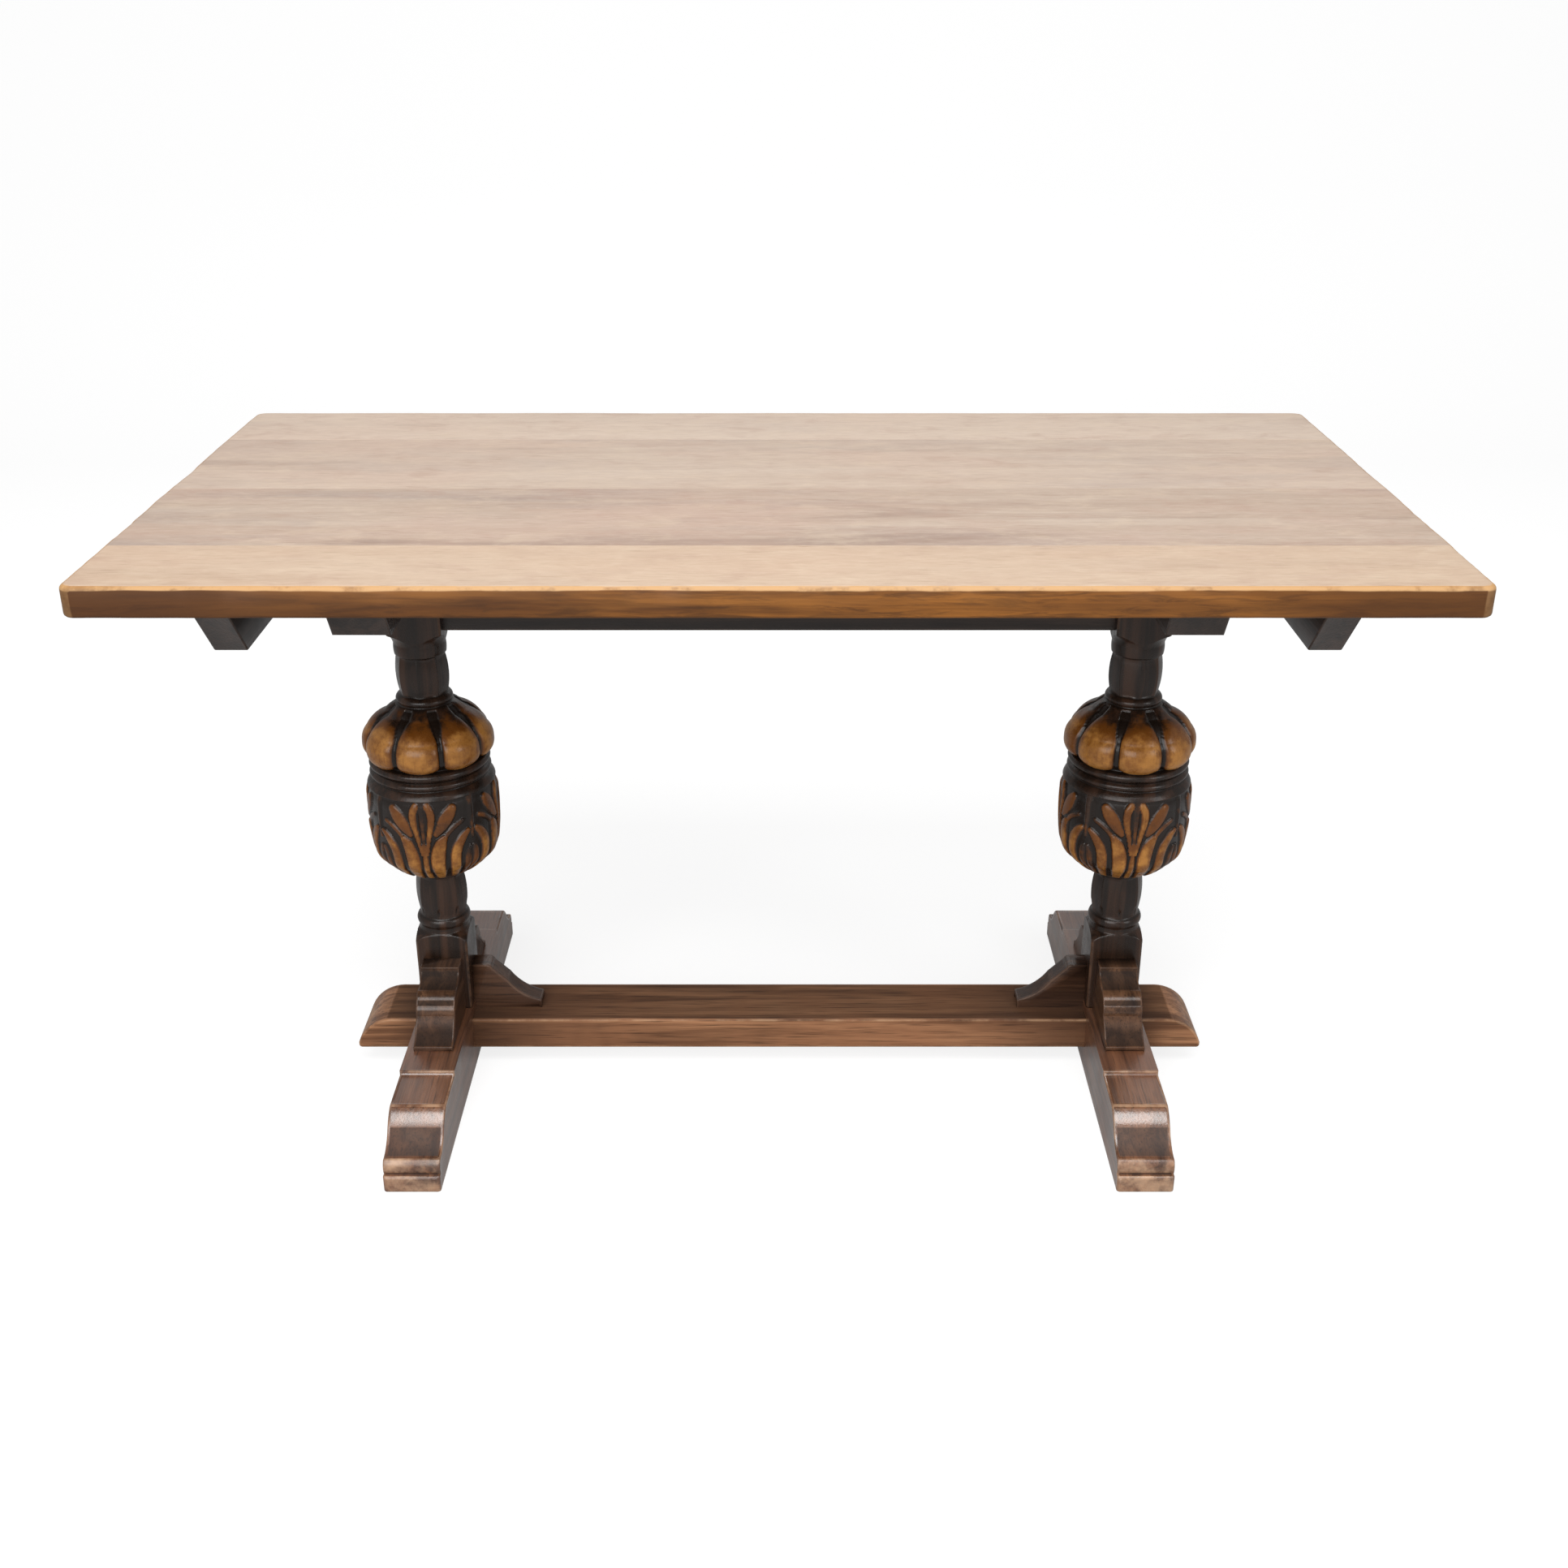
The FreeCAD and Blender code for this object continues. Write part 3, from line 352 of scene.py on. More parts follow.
# %% Patterns and layers of the top
TOP_PATTERNS = {
    # name: (noise scale, detail, roughness, distortion, scale along the grain)
    "bands": (30.0, 5.0, 0.62, 0.9, 0.035),
    "pores": (420.0, 2.0, 0.6, 0.0, 0.06),
    "clouds": (5.0, 4.0, 0.6, 0.4, 0.45),
    "drifts": (9.0, 4.0, 0.6, 0.5, 0.22),
    "smears": (17.0, 4.0, 0.62, 0.6, 0.12),
    "spots": (30.0, 4.0, 0.65, 0.3, 0.6),
    "flecks": (150.0, 4.0, 0.7, 0.4, 0.3),
    "lines": (130.0, 4.0, 0.7, 0.8, 0.12),
}
# The pale, greyish face colours hold painted sheen over the oak's own tone.
FACE_BASE = (177, 156, 139)
FACE_LAYERS = (
    # (pattern, where it starts, where it is full, its share, paint)
    ("bands", 0.32, 0.72, 1.0, (187, 169, 153)),
    ("flames", 0.5, 1.0, 0.3, (163, 140, 123)),
    ("clouds", 0.4, 0.66, 0.75, (184, 159, 144)),
    ("drifts", 0.46, 0.7, 0.7, (161, 144, 134)),
    ("smears", 0.54, 0.74, 0.65, (139, 117, 105)),
    ("board", 0.8, 3.2, 0.5, (221, 202, 184)),  # painted sheen: the rear boards are paler
    ("board", 0.6, 0.4, 0.62, (198, 172, 146)),  # the front board is warmer
    ("spots", 0.5, 0.74, 0.34, (168, 137, 120)),
    ("spots", 0.5, 0.3, 0.28, (205, 185, 162)),
    ("flecks", 0.44, 0.7, 0.1, (146, 113, 86)),
    ("flecks", 0.5, 0.3, 0.12, (222, 204, 184)),
    ("pores", 0.54, 0.76, 0.3, (112, 80, 54)),
)
EDGE_BASE = (80, 46, 14)
EDGE_LAYERS = (
    ("bands", 0.34, 0.7, 1.0, (146, 91, 34)),
    ("drifts", 0.4, 0.62, 0.5, (80, 46, 18)),
    ("lines", 0.44, 0.64, 0.6, (60, 34, 11)),
    ("smears", 0.46, 0.7, 0.5, (160, 104, 46)),
    ("side", 1.0, 2.0, 0.75, (58, 30, 9)),  # painted shade on the edge near both ends
)
UNDERSIDE = (96, 70, 48)
RUBBED_ARRIS = (184, 144, 98)
JOINT_BROWN = (70, 48, 34)
print("layers:", len(FACE_LAYERS), "on the face,", len(EDGE_LAYERS), "on the edge")

# %% Worn oak of the top
def lay_all(shade, base, patterns, layers):
    """Lays one layer after the other over a base colour."""
    wood = colour(*base)
    for name, *numbers, paint in layers:
        wood = shade.lay(wood, patterns[name], *numbers, paint)
    return wood


def top_oak():
    """Boards pale with painted sheen over the oak's own tone, each board with a figure and a tone of its
    own.
    """
    shade = Shade("worn_top_oak")
    board = shade.attribute("board")
    shade.shift(board, (1.7, 0.43, 0.0))
    side = shade.attribute("side")
    wear = shade.attribute("wear")
    patterns = {"board": board, "side": side}
    for name, (*numbers, length) in TOP_PATTERNS.items():
        patterns[name] = shade.noise(*numbers, shade.stretch((length, 1.0, 1.0)))
    patterns["flames"] = shade.wave(7.0, 9.0, 3.0, shade.stretch((0.075, 1.0, 1.0)))
    face = lay_all(shade, FACE_BASE, patterns, FACE_LAYERS)
    edge = lay_all(shade, EDGE_BASE, patterns, EDGE_LAYERS)
    wood = shade.blend(shade.ramp(side, 0.25, 0.8), face, edge)
    wood = shade.lay(wood, side, -0.2, -0.9, 0.8, UNDERSIDE)
    patches = shade.ramp(shade.noise(34.0, 4.0, 0.7), 0.3, 0.52, 0.45, 1.0)
    rubbed = shade.calc("MULTIPLY", shade.ramp(wear, 0.25, 0.95, 0.0, 0.9), patches)
    wood = shade.blend(rubbed, wood, colour(*RUBBED_ARRIS))
    wood = shade.lay(wood, wear, -0.1, -1.0, 0.6, JOINT_BROWN)
    shade.relief(shade.calc("ADD", patterns["pores"], patterns["bands"]), 0.08, 0.001)
    return shade.finish(wood, shade.ramp(patterns["clouds"], 0.3, 0.7, 0.46, 0.58), 0.3, 0.0, 0.3)


TOP_OAK = top_oak()
print("top oak nodes:", len(TOP_OAK.node_tree.nodes))

# %% Carved oak of the legs
def carved_oak():
    """Near-black old polish in the hollows, honey-coloured wood on the rubbed carving."""
    shade = Shade("carved_oak")
    along = shade.stretch(GRAIN["Z"])
    bands = shade.noise(60.0, 4.0, 0.6, 0.6, along)
    pores = shade.noise(480.0, 2.0, 0.6, 0.0, along)
    clouds = shade.noise(38.0, 4.0, 0.65)
    blots = shade.noise(95.0, 3.0, 0.6)
    honey = shade.lay(colour(137, 87, 36), clouds, 0.36, 0.66, 1.0, (178, 122, 58))
    honey = shade.lay(honey, blots, 0.52, 0.72, 0.5, (122, 70, 26))
    honey = shade.lay(honey, pores, 0.54, 0.72, 0.4, (98, 54, 20))
    ragged = shade.calc("ADD", shade.attribute("rub"), shade.ramp(clouds, 0.3, 0.7, -0.16, 0.16))
    wood = shade.lay(colour(27, 18, 13), bands, 0.36, 0.7, 1.0, (60, 40, 29))
    wood = shade.lay(wood, ragged, 0.12, 0.48, 1.0, (104, 59, 18))
    wood = shade.blend(shade.ramp(ragged, 0.48, 0.98), wood, honey)
    wood = shade.lay(wood, shade.attribute("deep"), 0.3, 0.95, 0.85, (24, 17, 13))
    worn = shade.ramp(shade.attribute("wear"), 0.15, 1.0, 0.0, 0.7)
    bare = shade.calc("MULTIPLY", worn, shade.ramp(clouds, 0.36, 0.6))
    wood = shade.blend(bare, wood, colour(94, 66, 47))
    shade.relief(shade.calc("ADD", pores, bands), 0.2, 0.001)
    return shade.finish(wood, shade.ramp(clouds, 0.3, 0.7, 0.24, 0.4), 0.28, 0.14, 0.12)


CARVED_OAK = carved_oak()
print("carved oak nodes:", len(CARVED_OAK.node_tree.nodes))

# %% Plain dowel oak and screw steel
def dowel_oak():
    """Pale oak without stain."""
    shade = Shade("dowel_oak")
    bands = shade.noise(300.0, 3.0, 0.6)
    wood = shade.lay(colour(150, 110, 70), bands, 0.35, 0.65, 1.0, (186, 146, 98))
    return shade.finish(wood, 0.6, 0.4, 0.0, 0.3)


def screw_steel():
    """Dull steel with brown tarnish."""
    shade = Shade("screw_steel")
    tarnish = shade.noise(500.0, 3.0, 0.6)
    metal = shade.lay(colour(120, 116, 108), tarnish, 0.4, 0.7, 1.0, (70, 62, 54))
    shade.surface.inputs["Metallic"].default_value = 1.0
    return shade.finish(metal, shade.ramp(tarnish, 0.3, 0.7, 0.35, 0.6), 0.5, 0.0, 0.3)


DOWEL_OAK = dowel_oak()
SCREW_STEEL = screw_steel()
for node, material in (
    ("top_board_dowels", DOWEL_OAK),
    ("foot_bracket_dowels", DOWEL_OAK),
    ("stretcher_bracket_dowels", DOWEL_OAK),
    ("end_cleat_screws", SCREW_STEEL),
    ("bearer_screws", SCREW_STEEL),
):
    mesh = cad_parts[node].data
    mesh.materials.clear()
    mesh.materials.append(material)
print("hidden fastenings keep their CAD shape")

# %% [markdown]
# ## Adding a piece
# Each finished piece gets its material and rides on the table's one body, and the CAD node that it
# stands for is hidden.

# %% Piece helper
def add_piece(name, mesh, material, node):
    """Links a finished mesh as a piece that stands for a CAD node."""
    mesh.materials.clear()
    mesh.materials.append(material)
    piece = bpy.data.objects.new(name, mesh)
    scene.collection.objects.link(piece)
    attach(piece, "root")
    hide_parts(node)


def set_attribute(mesh, name, values):
    """Gives every point of a mesh a number."""
    layer = mesh.attributes.new(name, "FLOAT", "POINT")
    layer.data.foreach_set("value", np.asarray(values, dtype=np.float32))


def shade_smooth(mesh, angle):
    """Smooth shading with a crease wherever two faces meet more steeply than the angle."""
    mesh.polygons.foreach_set("use_smooth", [True] * len(mesh.polygons))
    mesh.set_sharp_from_angle(angle=math.radians(angle))


def smooth_step(start, full, value):
    """0 up to the first value, 1 from the second on, a smooth S between. Either may be larger."""
    t = np.clip((value - start) / (full - start), 0.0, 1.0)
    return t * t * (3.0 - 2.0 * t)


# %% [markdown]
# ## Joinery pieces with eased edges
# Feet, brackets, stretcher, rail, bearers and cleats are already right in the CAD model, holes and all,
# but a CAD edge is knife sharp and old oak is not. So each one is a copy of its node: the loose
# triangles are merged, flat triangles dissolve into whole faces, and every free outer edge gets a small
# round with bmesh's bevel. A free edge is one that no other piece touches, which a BVH tree of every
# node can tell. An inset just inside each wide face, and a cut just inside each side of a moulding,
# keep the marks of wear near the edges.

# %% Find edges that touch another piece
TOUCHING = 1.2 * MM
SURFACES = {}
for name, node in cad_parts.items():
    corners = [v.co for v in node.data.vertices]
    SURFACES[name] = BVHTree.FromPolygons(corners, [p.vertices for p in node.data.polygons])


def in_joint(name, edge):
    """True where the middle of an edge lies against a piece other than its own."""
    middle = (edge.verts[0].co + edge.verts[1].co) / 2
    others = (tree for other, tree in SURFACES.items() if other != name)
    return any(tree.find_nearest(middle, TOUCHING)[0] is not None for tree in others)


print("surfaces to compare:", len(SURFACES))

# %% Round the edges and divide the faces
# Kinds of face: a narrow strip of a moulding, a rounded edge and a wide flat face.
STRIP, ROUND, FLAT = 0, 1, 2
# Faces that bend by more than STEEP meet in an edge, and by more than SLIGHT in a moulding.
STEEP = math.radians(24.0)
SLIGHT = math.radians(1.0)
TINY = 0.01 * MM
# Inner corners get painted shade at this mark, and glued joints get dirt.
CREASE_SHADE_AND_JOINT_DIRT = -1.0
ROUNDED = 0.7


def merged_copy(node):
    """A bmesh of the node with whole faces and room for two marks: wear of points, kind of faces."""
    work = bmesh.new()
    work.from_mesh(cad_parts[node].data)
    bmesh.ops.remove_doubles(work, verts=work.verts, dist=TINY)
    bmesh.ops.dissolve_limit(work, angle_limit=SLIGHT, verts=work.verts, edges=work.edges)
    bmesh.ops.recalc_face_normals(work, faces=work.faces)
    work.verts.layers.float.new("wear")
    work.faces.layers.int.new("kind")
    return work


def marks(work):
    """The layers that hold the two marks."""
    return work.verts.layers.float["wear"], work.faces.layers.int["kind"]


def round_edges(work, node, edge):
    """Rounds the free edges and returns how many. The rest get painted shade in corners and dirt in
    joints.
    """
    wear, kind = marks(work)
    sharp = [e for e in work.edges if e.is_manifold and abs(e.calc_face_angle_signed()) > STEEP]
    held = {e for e in sharp if not e.is_convex or in_joint(node, e)}
    free = [e for e in sharp if e not in held]
    for corner in held:
        for vert in corner.verts:
            vert[wear] = CREASE_SHADE_AND_JOINT_DIRT
    rounded = bmesh.ops.bevel(work, geom=free, offset=edge * MM, segments=3, profile=0.5, affect="EDGES")
    for face in rounded["faces"]:
        face[kind] = ROUND
    for vert in rounded["verts"]:
        vert[wear] = ROUNDED
    return len(free)


def inset_faces(work, margin):
    """Insets every wide face by a margin and returns the inner faces."""
    wear, kind = marks(work)
    least = (6 * margin * MM) ** 2
    wide = [f for f in work.faces if f[kind] != ROUND and f.calc_area() > least]
    options = {"use_boundary": True, "use_even_offset": True}
    rims = bmesh.ops.inset_region(work, faces=wide, thickness=margin * MM, **options)
    for face in wide:
        for vert in face.verts:
            vert[wear] = 0.0
    for face in wide + rims["faces"]:
        face[kind] = FLAT
    return wide


def cut_strips(work, node, axis, inset):
    """Cuts the narrow strips of a moulding just inside its two sides."""
    kind = marks(work)[1]
    low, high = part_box(node)
    normal = [float(i == axis) for i in range(3)]
    for level in (low[axis] + inset * MM, high[axis] - inset * MM):
        strips = [f for f in work.faces if f[kind] == STRIP]
        lines = list(dict.fromkeys(e for f in strips for e in f.edges))
        spots = list(dict.fromkeys(v for f in strips for v in f.verts))
        place = [level * n for n in normal]
        parts = spots + lines + strips
        bmesh.ops.bisect_plane(work, geom=parts, dist=TINY, plane_co=place, plane_no=normal)


print("edges are sharp above", round(math.degrees(STEEP)), "degrees")

# %% [markdown]
# ### Marks of wear
# Rounded edges are worn pale, and glued joints hold dirt. Inner corners, the hollows of the mouldings
# and the top of the stretcher are darkened with painted shade, and the hollows are rough too. The swells
# are polished, and the ends of the feet and of the stretcher are scuffed pale, with a painted highlight.

# %% Marks of wear
# Painted shade in hollows, by the axis across the moulding: the feet, along Y, get more than the pieces
# along X.
HOLLOW_SHADE = {"X": -0.7, "Y": -0.3}
POLISHED = 0.3
# Painted shade on the top of the stretcher.
STRETCHER_TOP_SHADE = -0.6
SCUFF_AND_HIGHLIGHT = 0.8
NARROW_FACE = 700 * MM**2


def mark_bends(work, node, wide, dull):
    """Marks each point off the rounded edges by how the surface bends there."""
    wear, kind = marks(work)
    inner = set(wide)
    for vert in work.verts:
        if vert[wear] <= CREASE_SHADE_AND_JOINT_DIRT or any(f[kind] == ROUND for f in vert.link_faces):
            continue
        lines = [e for e in vert.link_edges if e.is_manifold]
        flat = any(f[kind] == FLAT for f in vert.link_faces)
        if flat:
            lines = [e for e in lines if inner.issuperset(e.link_faces)]
        bends = [e.calc_face_angle_signed() for e in lines]
        bends = [0.0] + [b for b in bends if not flat or abs(b) < STEEP]
        # Steep inner bends get painted corner shade, gentle ones painted hollow shade.
        if min(bends) < -STEEP:
            vert[wear] = CREASE_SHADE_AND_JOINT_DIRT
        elif min(bends) < -SLIGHT:
            vert[wear] = dull
        else:
            vert[wear] = POLISHED if max(bends) > SLIGHT else 0.0
        # Painted shade on the top of the stretcher, under the table top.
        if node == "stretcher" and max(f.normal.z for f in vert.link_faces) > 0.99:
            vert[wear] = STRETCHER_TOP_SHADE


def spread_hollow_shade(work, wide, dull):
    """Spreads painted hollow shade over a narrow facet where one of its points has it."""
    wear = marks(work)[0]
    for face in wide:
        if face.calc_area() < NARROW_FACE and any(abs(v[wear] - dull) < 1e-4 for v in face.verts):
            for vert in face.verts:
                vert[wear] = min(vert[wear], dull)


def pale_ends(work, axis, length):
    """Pales the faces that look out along an axis, over a length from each end: scuffs with a painted
    highlight.
    """
    wear = marks(work)[0]
    start = max(abs(v.co[axis]) for v in work.verts) - length * MM
    for vert in work.verts:
        on_end = any(abs(f.normal[axis]) > 0.3 for f in vert.link_faces)
        if on_end and abs(vert.co[axis]) > start and vert[wear] >= 0.0:
            # Scuffed wear with a painted highlight on the ends.
            vert[wear] = max(vert[wear], SCUFF_AND_HIGHLIGHT)


print("wear on swells:", POLISHED, "and on scuffed ends:", SCUFF_AND_HIGHLIGHT)

# %% Eased copies of CAD nodes
def eased_copy(node, edge, margin, side, pale_end_length):
    """A mesh like the node's, with rounded free edges and the wear attribute."""
    work = merged_copy(node)
    free_edges = round_edges(work, node, edge)
    wide = inset_faces(work, margin)
    axis = "XYZ".index(side)
    cut_strips(work, node, axis, edge + margin)
    mark_bends(work, node, wide, HOLLOW_SHADE[side])
    spread_hollow_shade(work, wide, HOLLOW_SHADE[side])
    if pale_end_length:
        pale_ends(work, 1 - axis, pale_end_length)
    mesh = bpy.data.meshes.new(node)
    work.to_mesh(mesh)
    work.free()
    shade_smooth(mesh, 40.0)
    return mesh, free_edges


JOINERY = {
    # nodes: (stain, grain, round of the edges, margin, axis across the moulding, length of the pale ends)
    ("foot_left", "foot_right"): ("waxed", "Y", 1.6, 2.5, "X", 14.0),
    ("stretcher",): ("trodden", "X", 1.7, 2.5, "Y", 16.0),
    # The pieces under the top take the deep stain: painted shade.
    ("top_rail",): ("deep", "X", 1.6, 2.5, "Y", 0.0),
    ("bearer_left", "bearer_right"): ("deep", "Y", 1.6, 0.6, "X", 0.0),
    ("end_cleat_left", "end_cleat_right"): ("deep", "Y", 1.6, 0.6, "X", 0.0),
    ("foot_bracket_left_front", "foot_bracket_left_rear"): ("brown", "Y", 1.2, 1.0, "X", 0.0),
    ("foot_bracket_right_front", "foot_bracket_right_rear"): ("brown", "Y", 1.2, 1.0, "X", 0.0),
    ("stretcher_bracket_left", "stretcher_bracket_right"): ("dark", "X", 1.4, 2.5, "Y", 0.0),
}
for nodes, (stain, grain, *sizes) in JOINERY.items():
    for node in nodes:
        mesh, free_edges = eased_copy(node, *sizes)
        add_piece(f"{node}_oak", mesh, dark_oak(stain, grain), node)
        print(node, len(mesh.polygons), "faces,", free_edges, "free edges rounded")

# %% [markdown]
# ## Top boards
# Generations of sleeves have rubbed the rim of the top into a soft, uneven round. A bevel would be
# too even, so each board is built as rings of points round its plan: the rings climb the edge profile
# from the underside to the top, and the round's size wanders along the rim with a smooth noise. Edges
# that are glued to the next board only get a hair of a chamfer, so the joint reads as a fine line.

# %% Board rims
TOP_CORNER = 14 * MM
RIM_STEP = 4 * MM


def plan_points(low, high, front_free, rear_free):
    """Rim of a board, anticlockwise from its front left: rows of x, y, inward x, inward y, glued."""
    (x0, y0), (x1, y1) = low[:2], high[:2]
    front = TOP_CORNER if front_free else 0.0
    rear = TOP_CORNER if rear_free else 0.0
    sides = (
        # (start, stop, inward, glued, radius of the corner after it)
        ((x0 + front, y0), (x1 - front, y0), (0.0, 1.0), not front_free, front),
        ((x1, y0 + front), (x1, y1 - rear), (-1.0, 0.0), False, rear),
        ((x1 - rear, y1), (x0 + rear, y1), (0.0, -1.0), not rear_free, rear),
        ((x0, y1 - rear), (x0, y0 + front), (1.0, 0.0), False, front),
    )
    rim = []
    for turn, (start, stop, inward, glued, radius) in enumerate(sides):
        count = max(2, round(math.dist(start, stop) / RIM_STEP))
        shares = np.linspace(0.0, 1.0, count + 1)
        for t in shares[1:-1] if glued else shares:
            rim.append((*(a + (b - a) * t for a, b in zip(start, stop)), *inward, glued))
        if not radius:
            continue
        x, y = (a + radius * b for a, b in zip(stop, inward))
        for angle in np.radians(np.linspace(-90.0, 0.0, 10)[1:-1] + 90.0 * turn):
            out_x, out_y = math.cos(angle), math.sin(angle)
            rim.append((x + radius * out_x, y + radius * out_y, -out_x, -out_y, False))
    return np.array(rim, dtype=float)


def wander(x, y, seed):
    """A smooth, repeatable wobble over the plan, the same for boards that meet."""
    waves = ((9.0, 1.0), (34.0, 0.6), (90.0, 0.3))
    spots = zip(x, y)
    return np.array([sum(w * noise.noise((f * px, f * py, seed)) for f, w in waves) for px, py in spots])


print("top corners have a radius of", TOP_CORNER / MM, "mm")

# %% Rings up the edge of a board
UPPER_ROUND = 5.0
LOWER_ROUND = 3.4
JOINT_CHAMFER = 0.25 * MM
JOINT_DIRT = -0.2
CORNER_WEAR = 0.5


def edge_rings(x, y, thick):
    """Rings up the edge of a board: inset, height, joint chamfers, wear and side marks."""
    upper = (UPPER_ROUND + 1.3 * wander(x, y, 0.3)) * MM
    lower = (LOWER_ROUND + 0.8 * wander(x, y, 5.3)) * MM
    chip = np.clip(wander(x, y, 9.1) - 0.15, 0.0, 1.0) * 1.5 * MM
    flat = np.zeros_like(x)
    inner = flat + 0.9 * TOP_CORNER
    rings = [(inner, flat, 3.0, 0.0, -1.0)]
    for a in np.radians((0.0, 30.0, 60.0, 90.0)):
        rings.append((lower * (1 - math.sin(a)), lower * (1 - math.cos(a)), 1 - math.sin(a), 0.2, 1.0))
    for a in np.radians((0.0, 22.5, 45.0, 67.5, 90.0)):
        inset = chip * math.sin(2 * a) + upper * (1 - math.cos(a))
        rise = thick - upper * (1 - math.sin(a))
        rubbed = min(1.0, 1.5 * math.sin(2 * a))
        rings.append((inset, rise, 1 - math.cos(a), rubbed, math.cos(a)))
    rings.append((np.minimum(upper + 3 * MM, 0.95 * inner), thick + flat, 2.0, 0.3, 0.0))
    rings.append((inner, thick + flat, 4.0, 0.0, 0.0))
    return rings


print("the top's arris has a round of about", UPPER_ROUND, "mm")

# %% Board meshes
def ring_faces(rings, count):
    """Quads between rings of points, and one face over each end."""
    faces = []
    for base in range(0, (rings - 1) * count, count):
        for i in range(count):
            j = (i + 1) % count
            faces.append((base + i, base + j, base + count + j, base + count + i))
    last = (rings - 1) * count
    faces.append(tuple(range(last, last + count)))
    faces.append(tuple(range(count - 1, -1, -1)))
    return faces


def board_mesh(name, number):
    """One top board as rings from its underside to its top."""
    low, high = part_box(name)
    front_free = name == "top_board_front"
    rear_free = name == "top_board_rear"
    x, y, in_x, in_y, glued = plan_points(low, high, front_free, rear_free).T
    glued = glued > 0
    ends = np.abs(in_x) > 0.999
    thick = high[2] - low[2]
    # A row along a joint is as much shorter as the ends of the board are inset there.
    joint = edge_rings(np.where(x > 0, high[0], low[0]), y, thick)
    free = edge_rings(x, y, thick)
    # The end columns lean with the chamfer of the joints that they run into.
    across = (y - low[1]) / (high[1] - low[1])
    lean = (0.0 if front_free else 1.0) * (1 - across) - (0.0 if rear_free else 1.0) * across
    # Side is 1 on the middle of an edge and goes up to 2 near the ends, for painted shade there.
    end_shade = 1.0 + smooth_step(0.3, 0.66, np.abs(x))
    corner = np.minimum(np.abs(in_x), np.abs(in_y)) > 0.1
    verts, wear, side = [], [], []
    for (inset, rise, steps, rubbed, edge), (end_inset, *_) in zip(free, joint):
        chamfer = steps * JOINT_CHAMFER
        ring_x = np.where(glued, x * (1 - end_inset / high[0]), x + in_x * inset)
        ring_y = np.where(glued, y + in_y * chamfer, y + in_y * inset)
        ring_y = np.where(ends, y + lean * chamfer, ring_y)
        above = np.maximum(rise, thick - JOINT_CHAMFER)
        shallow = np.where(rise > thick / 2, above, np.minimum(rise, JOINT_CHAMFER))
        ring_z = low[2] + np.where(glued, shallow, rise)
        verts += list(zip(ring_x, ring_y, ring_z))
        rubbed = np.where(corner & (edge > 0.0), max(rubbed, CORNER_WEAR), rubbed)
        wear += list(np.where(glued, JOINT_DIRT if edge else 0.0, rubbed))
        side += list(np.where(glued, min(edge, 0.0), edge * end_shade))
    mesh = bpy.data.meshes.new(name)
    mesh.from_pydata(verts, [], ring_faces(len(free), len(x)))
    set_attribute(mesh, "wear", wear)
    set_attribute(mesh, "side", side)
    set_attribute(mesh, "board", [number] * len(verts))
    shade_smooth(mesh, 50.0)
    return mesh


BOARDS = ("top_board_front", "top_board_front_middle", "top_board_rear_middle", "top_board_rear")
for number, node in enumerate(BOARDS):
    mesh = board_mesh(node, float(number))
    add_piece(f"{node}_oak", mesh, TOP_OAK, node)
    print(node, len(mesh.vertices), "points")

# %% [markdown]
# ## Turned and carved legs
# A leg is a square post with a round, carved middle. Seen from above it repeats every quarter turn: four
# flat block sides, four carved palmettes round the cup, two gadroons in every quarter of the cover.
# So one quarter is enough. It is a sheet of points on (angle, height) whose radius is worked out by
# rules, and a Geometry Nodes tree turns that quarter round the leg, welds the seams and gives the
# surface the slight wobble of hand work.

# %% The lathe profile
def bowed(start, stop, bow):
    """Ten points on a shallow arc between two (radius, height) points, without the first one."""
    (r0, z0), (r1, z1) = start, stop
    t = np.linspace(0.0, 1.0, 11)[1:]
    length = math.hypot(r1 - r0, z1 - z0)
    lift = 4.0 * bow * t * (1.0 - t)
    radii = r0 + (r1 - r0) * t + (z1 - z0) / length * lift
    heights = z0 + (z1 - z0) * t - (r1 - r0) / length * lift
    return list(zip(radii, heights))


def profile_line(first, *moves):
    """A chain of (radius, height, bow) moves as two arrays, for interpolation by height."""
    points = [first]
    for radius, height, bow in moves:
        points += bowed(points[-1], (radius, height), bow) if bow else [(radius, height)]
    points.sort(key=lambda p: p[1])
    return np.array([p[1] for p in points]), np.array([p[0] for p in points])


LOWER_LINE = profile_line(
    (60, 60), (60, 166, 0), (46, 170, 0), (31, 186, 3.5), (30.5, 192.8, 0),
    (30.5, 205.2, 2.4), (28.6, 205.6, 0), (28.6, 263.4, 3.2), (30.8, 264, 0), (33, 269, -0.4),
    (64, 288.4, 3.2), (76.2, 310, 2.8), (79.2, 372, 1.4), (77.6, 385, 0.6), (71.2, 397.6, 1.5),
    (69.2, 399.2, 0), (69.4, 408.6, 3.4), (68, 410, 0),
)
UPPER_LINE = profile_line(
    (68, 410), (69.4, 411.4, 0), (69.4, 420.8, 3), (67, 421.6, 0), (71.5, 423, 0),
    (78.8, 441, 2.6), (72.6, 458, 1.8), (49, 478.5, 3), (34.5, 489.4, 1), (31, 490, 0),
    (31, 500, 2.8), (28.8, 501.6, 0), (28.8, 550.6, 3), (30.4, 551.4, 0), (30.6, 565, 0.5),
    (46, 581, -3.5), (60, 585, 0), (60, 700, 0),
)
print("profile points:", len(LOWER_LINE[0]) + len(UPPER_LINE[0]))

# %% Blocks, necks and grooves
EIGHTH = math.pi / 8
BLOCK_HALF = 32.0
CORNER_EASE = 1.6
CORNER_REACH = 45.0  # about the distance of a corner from the leg's axis


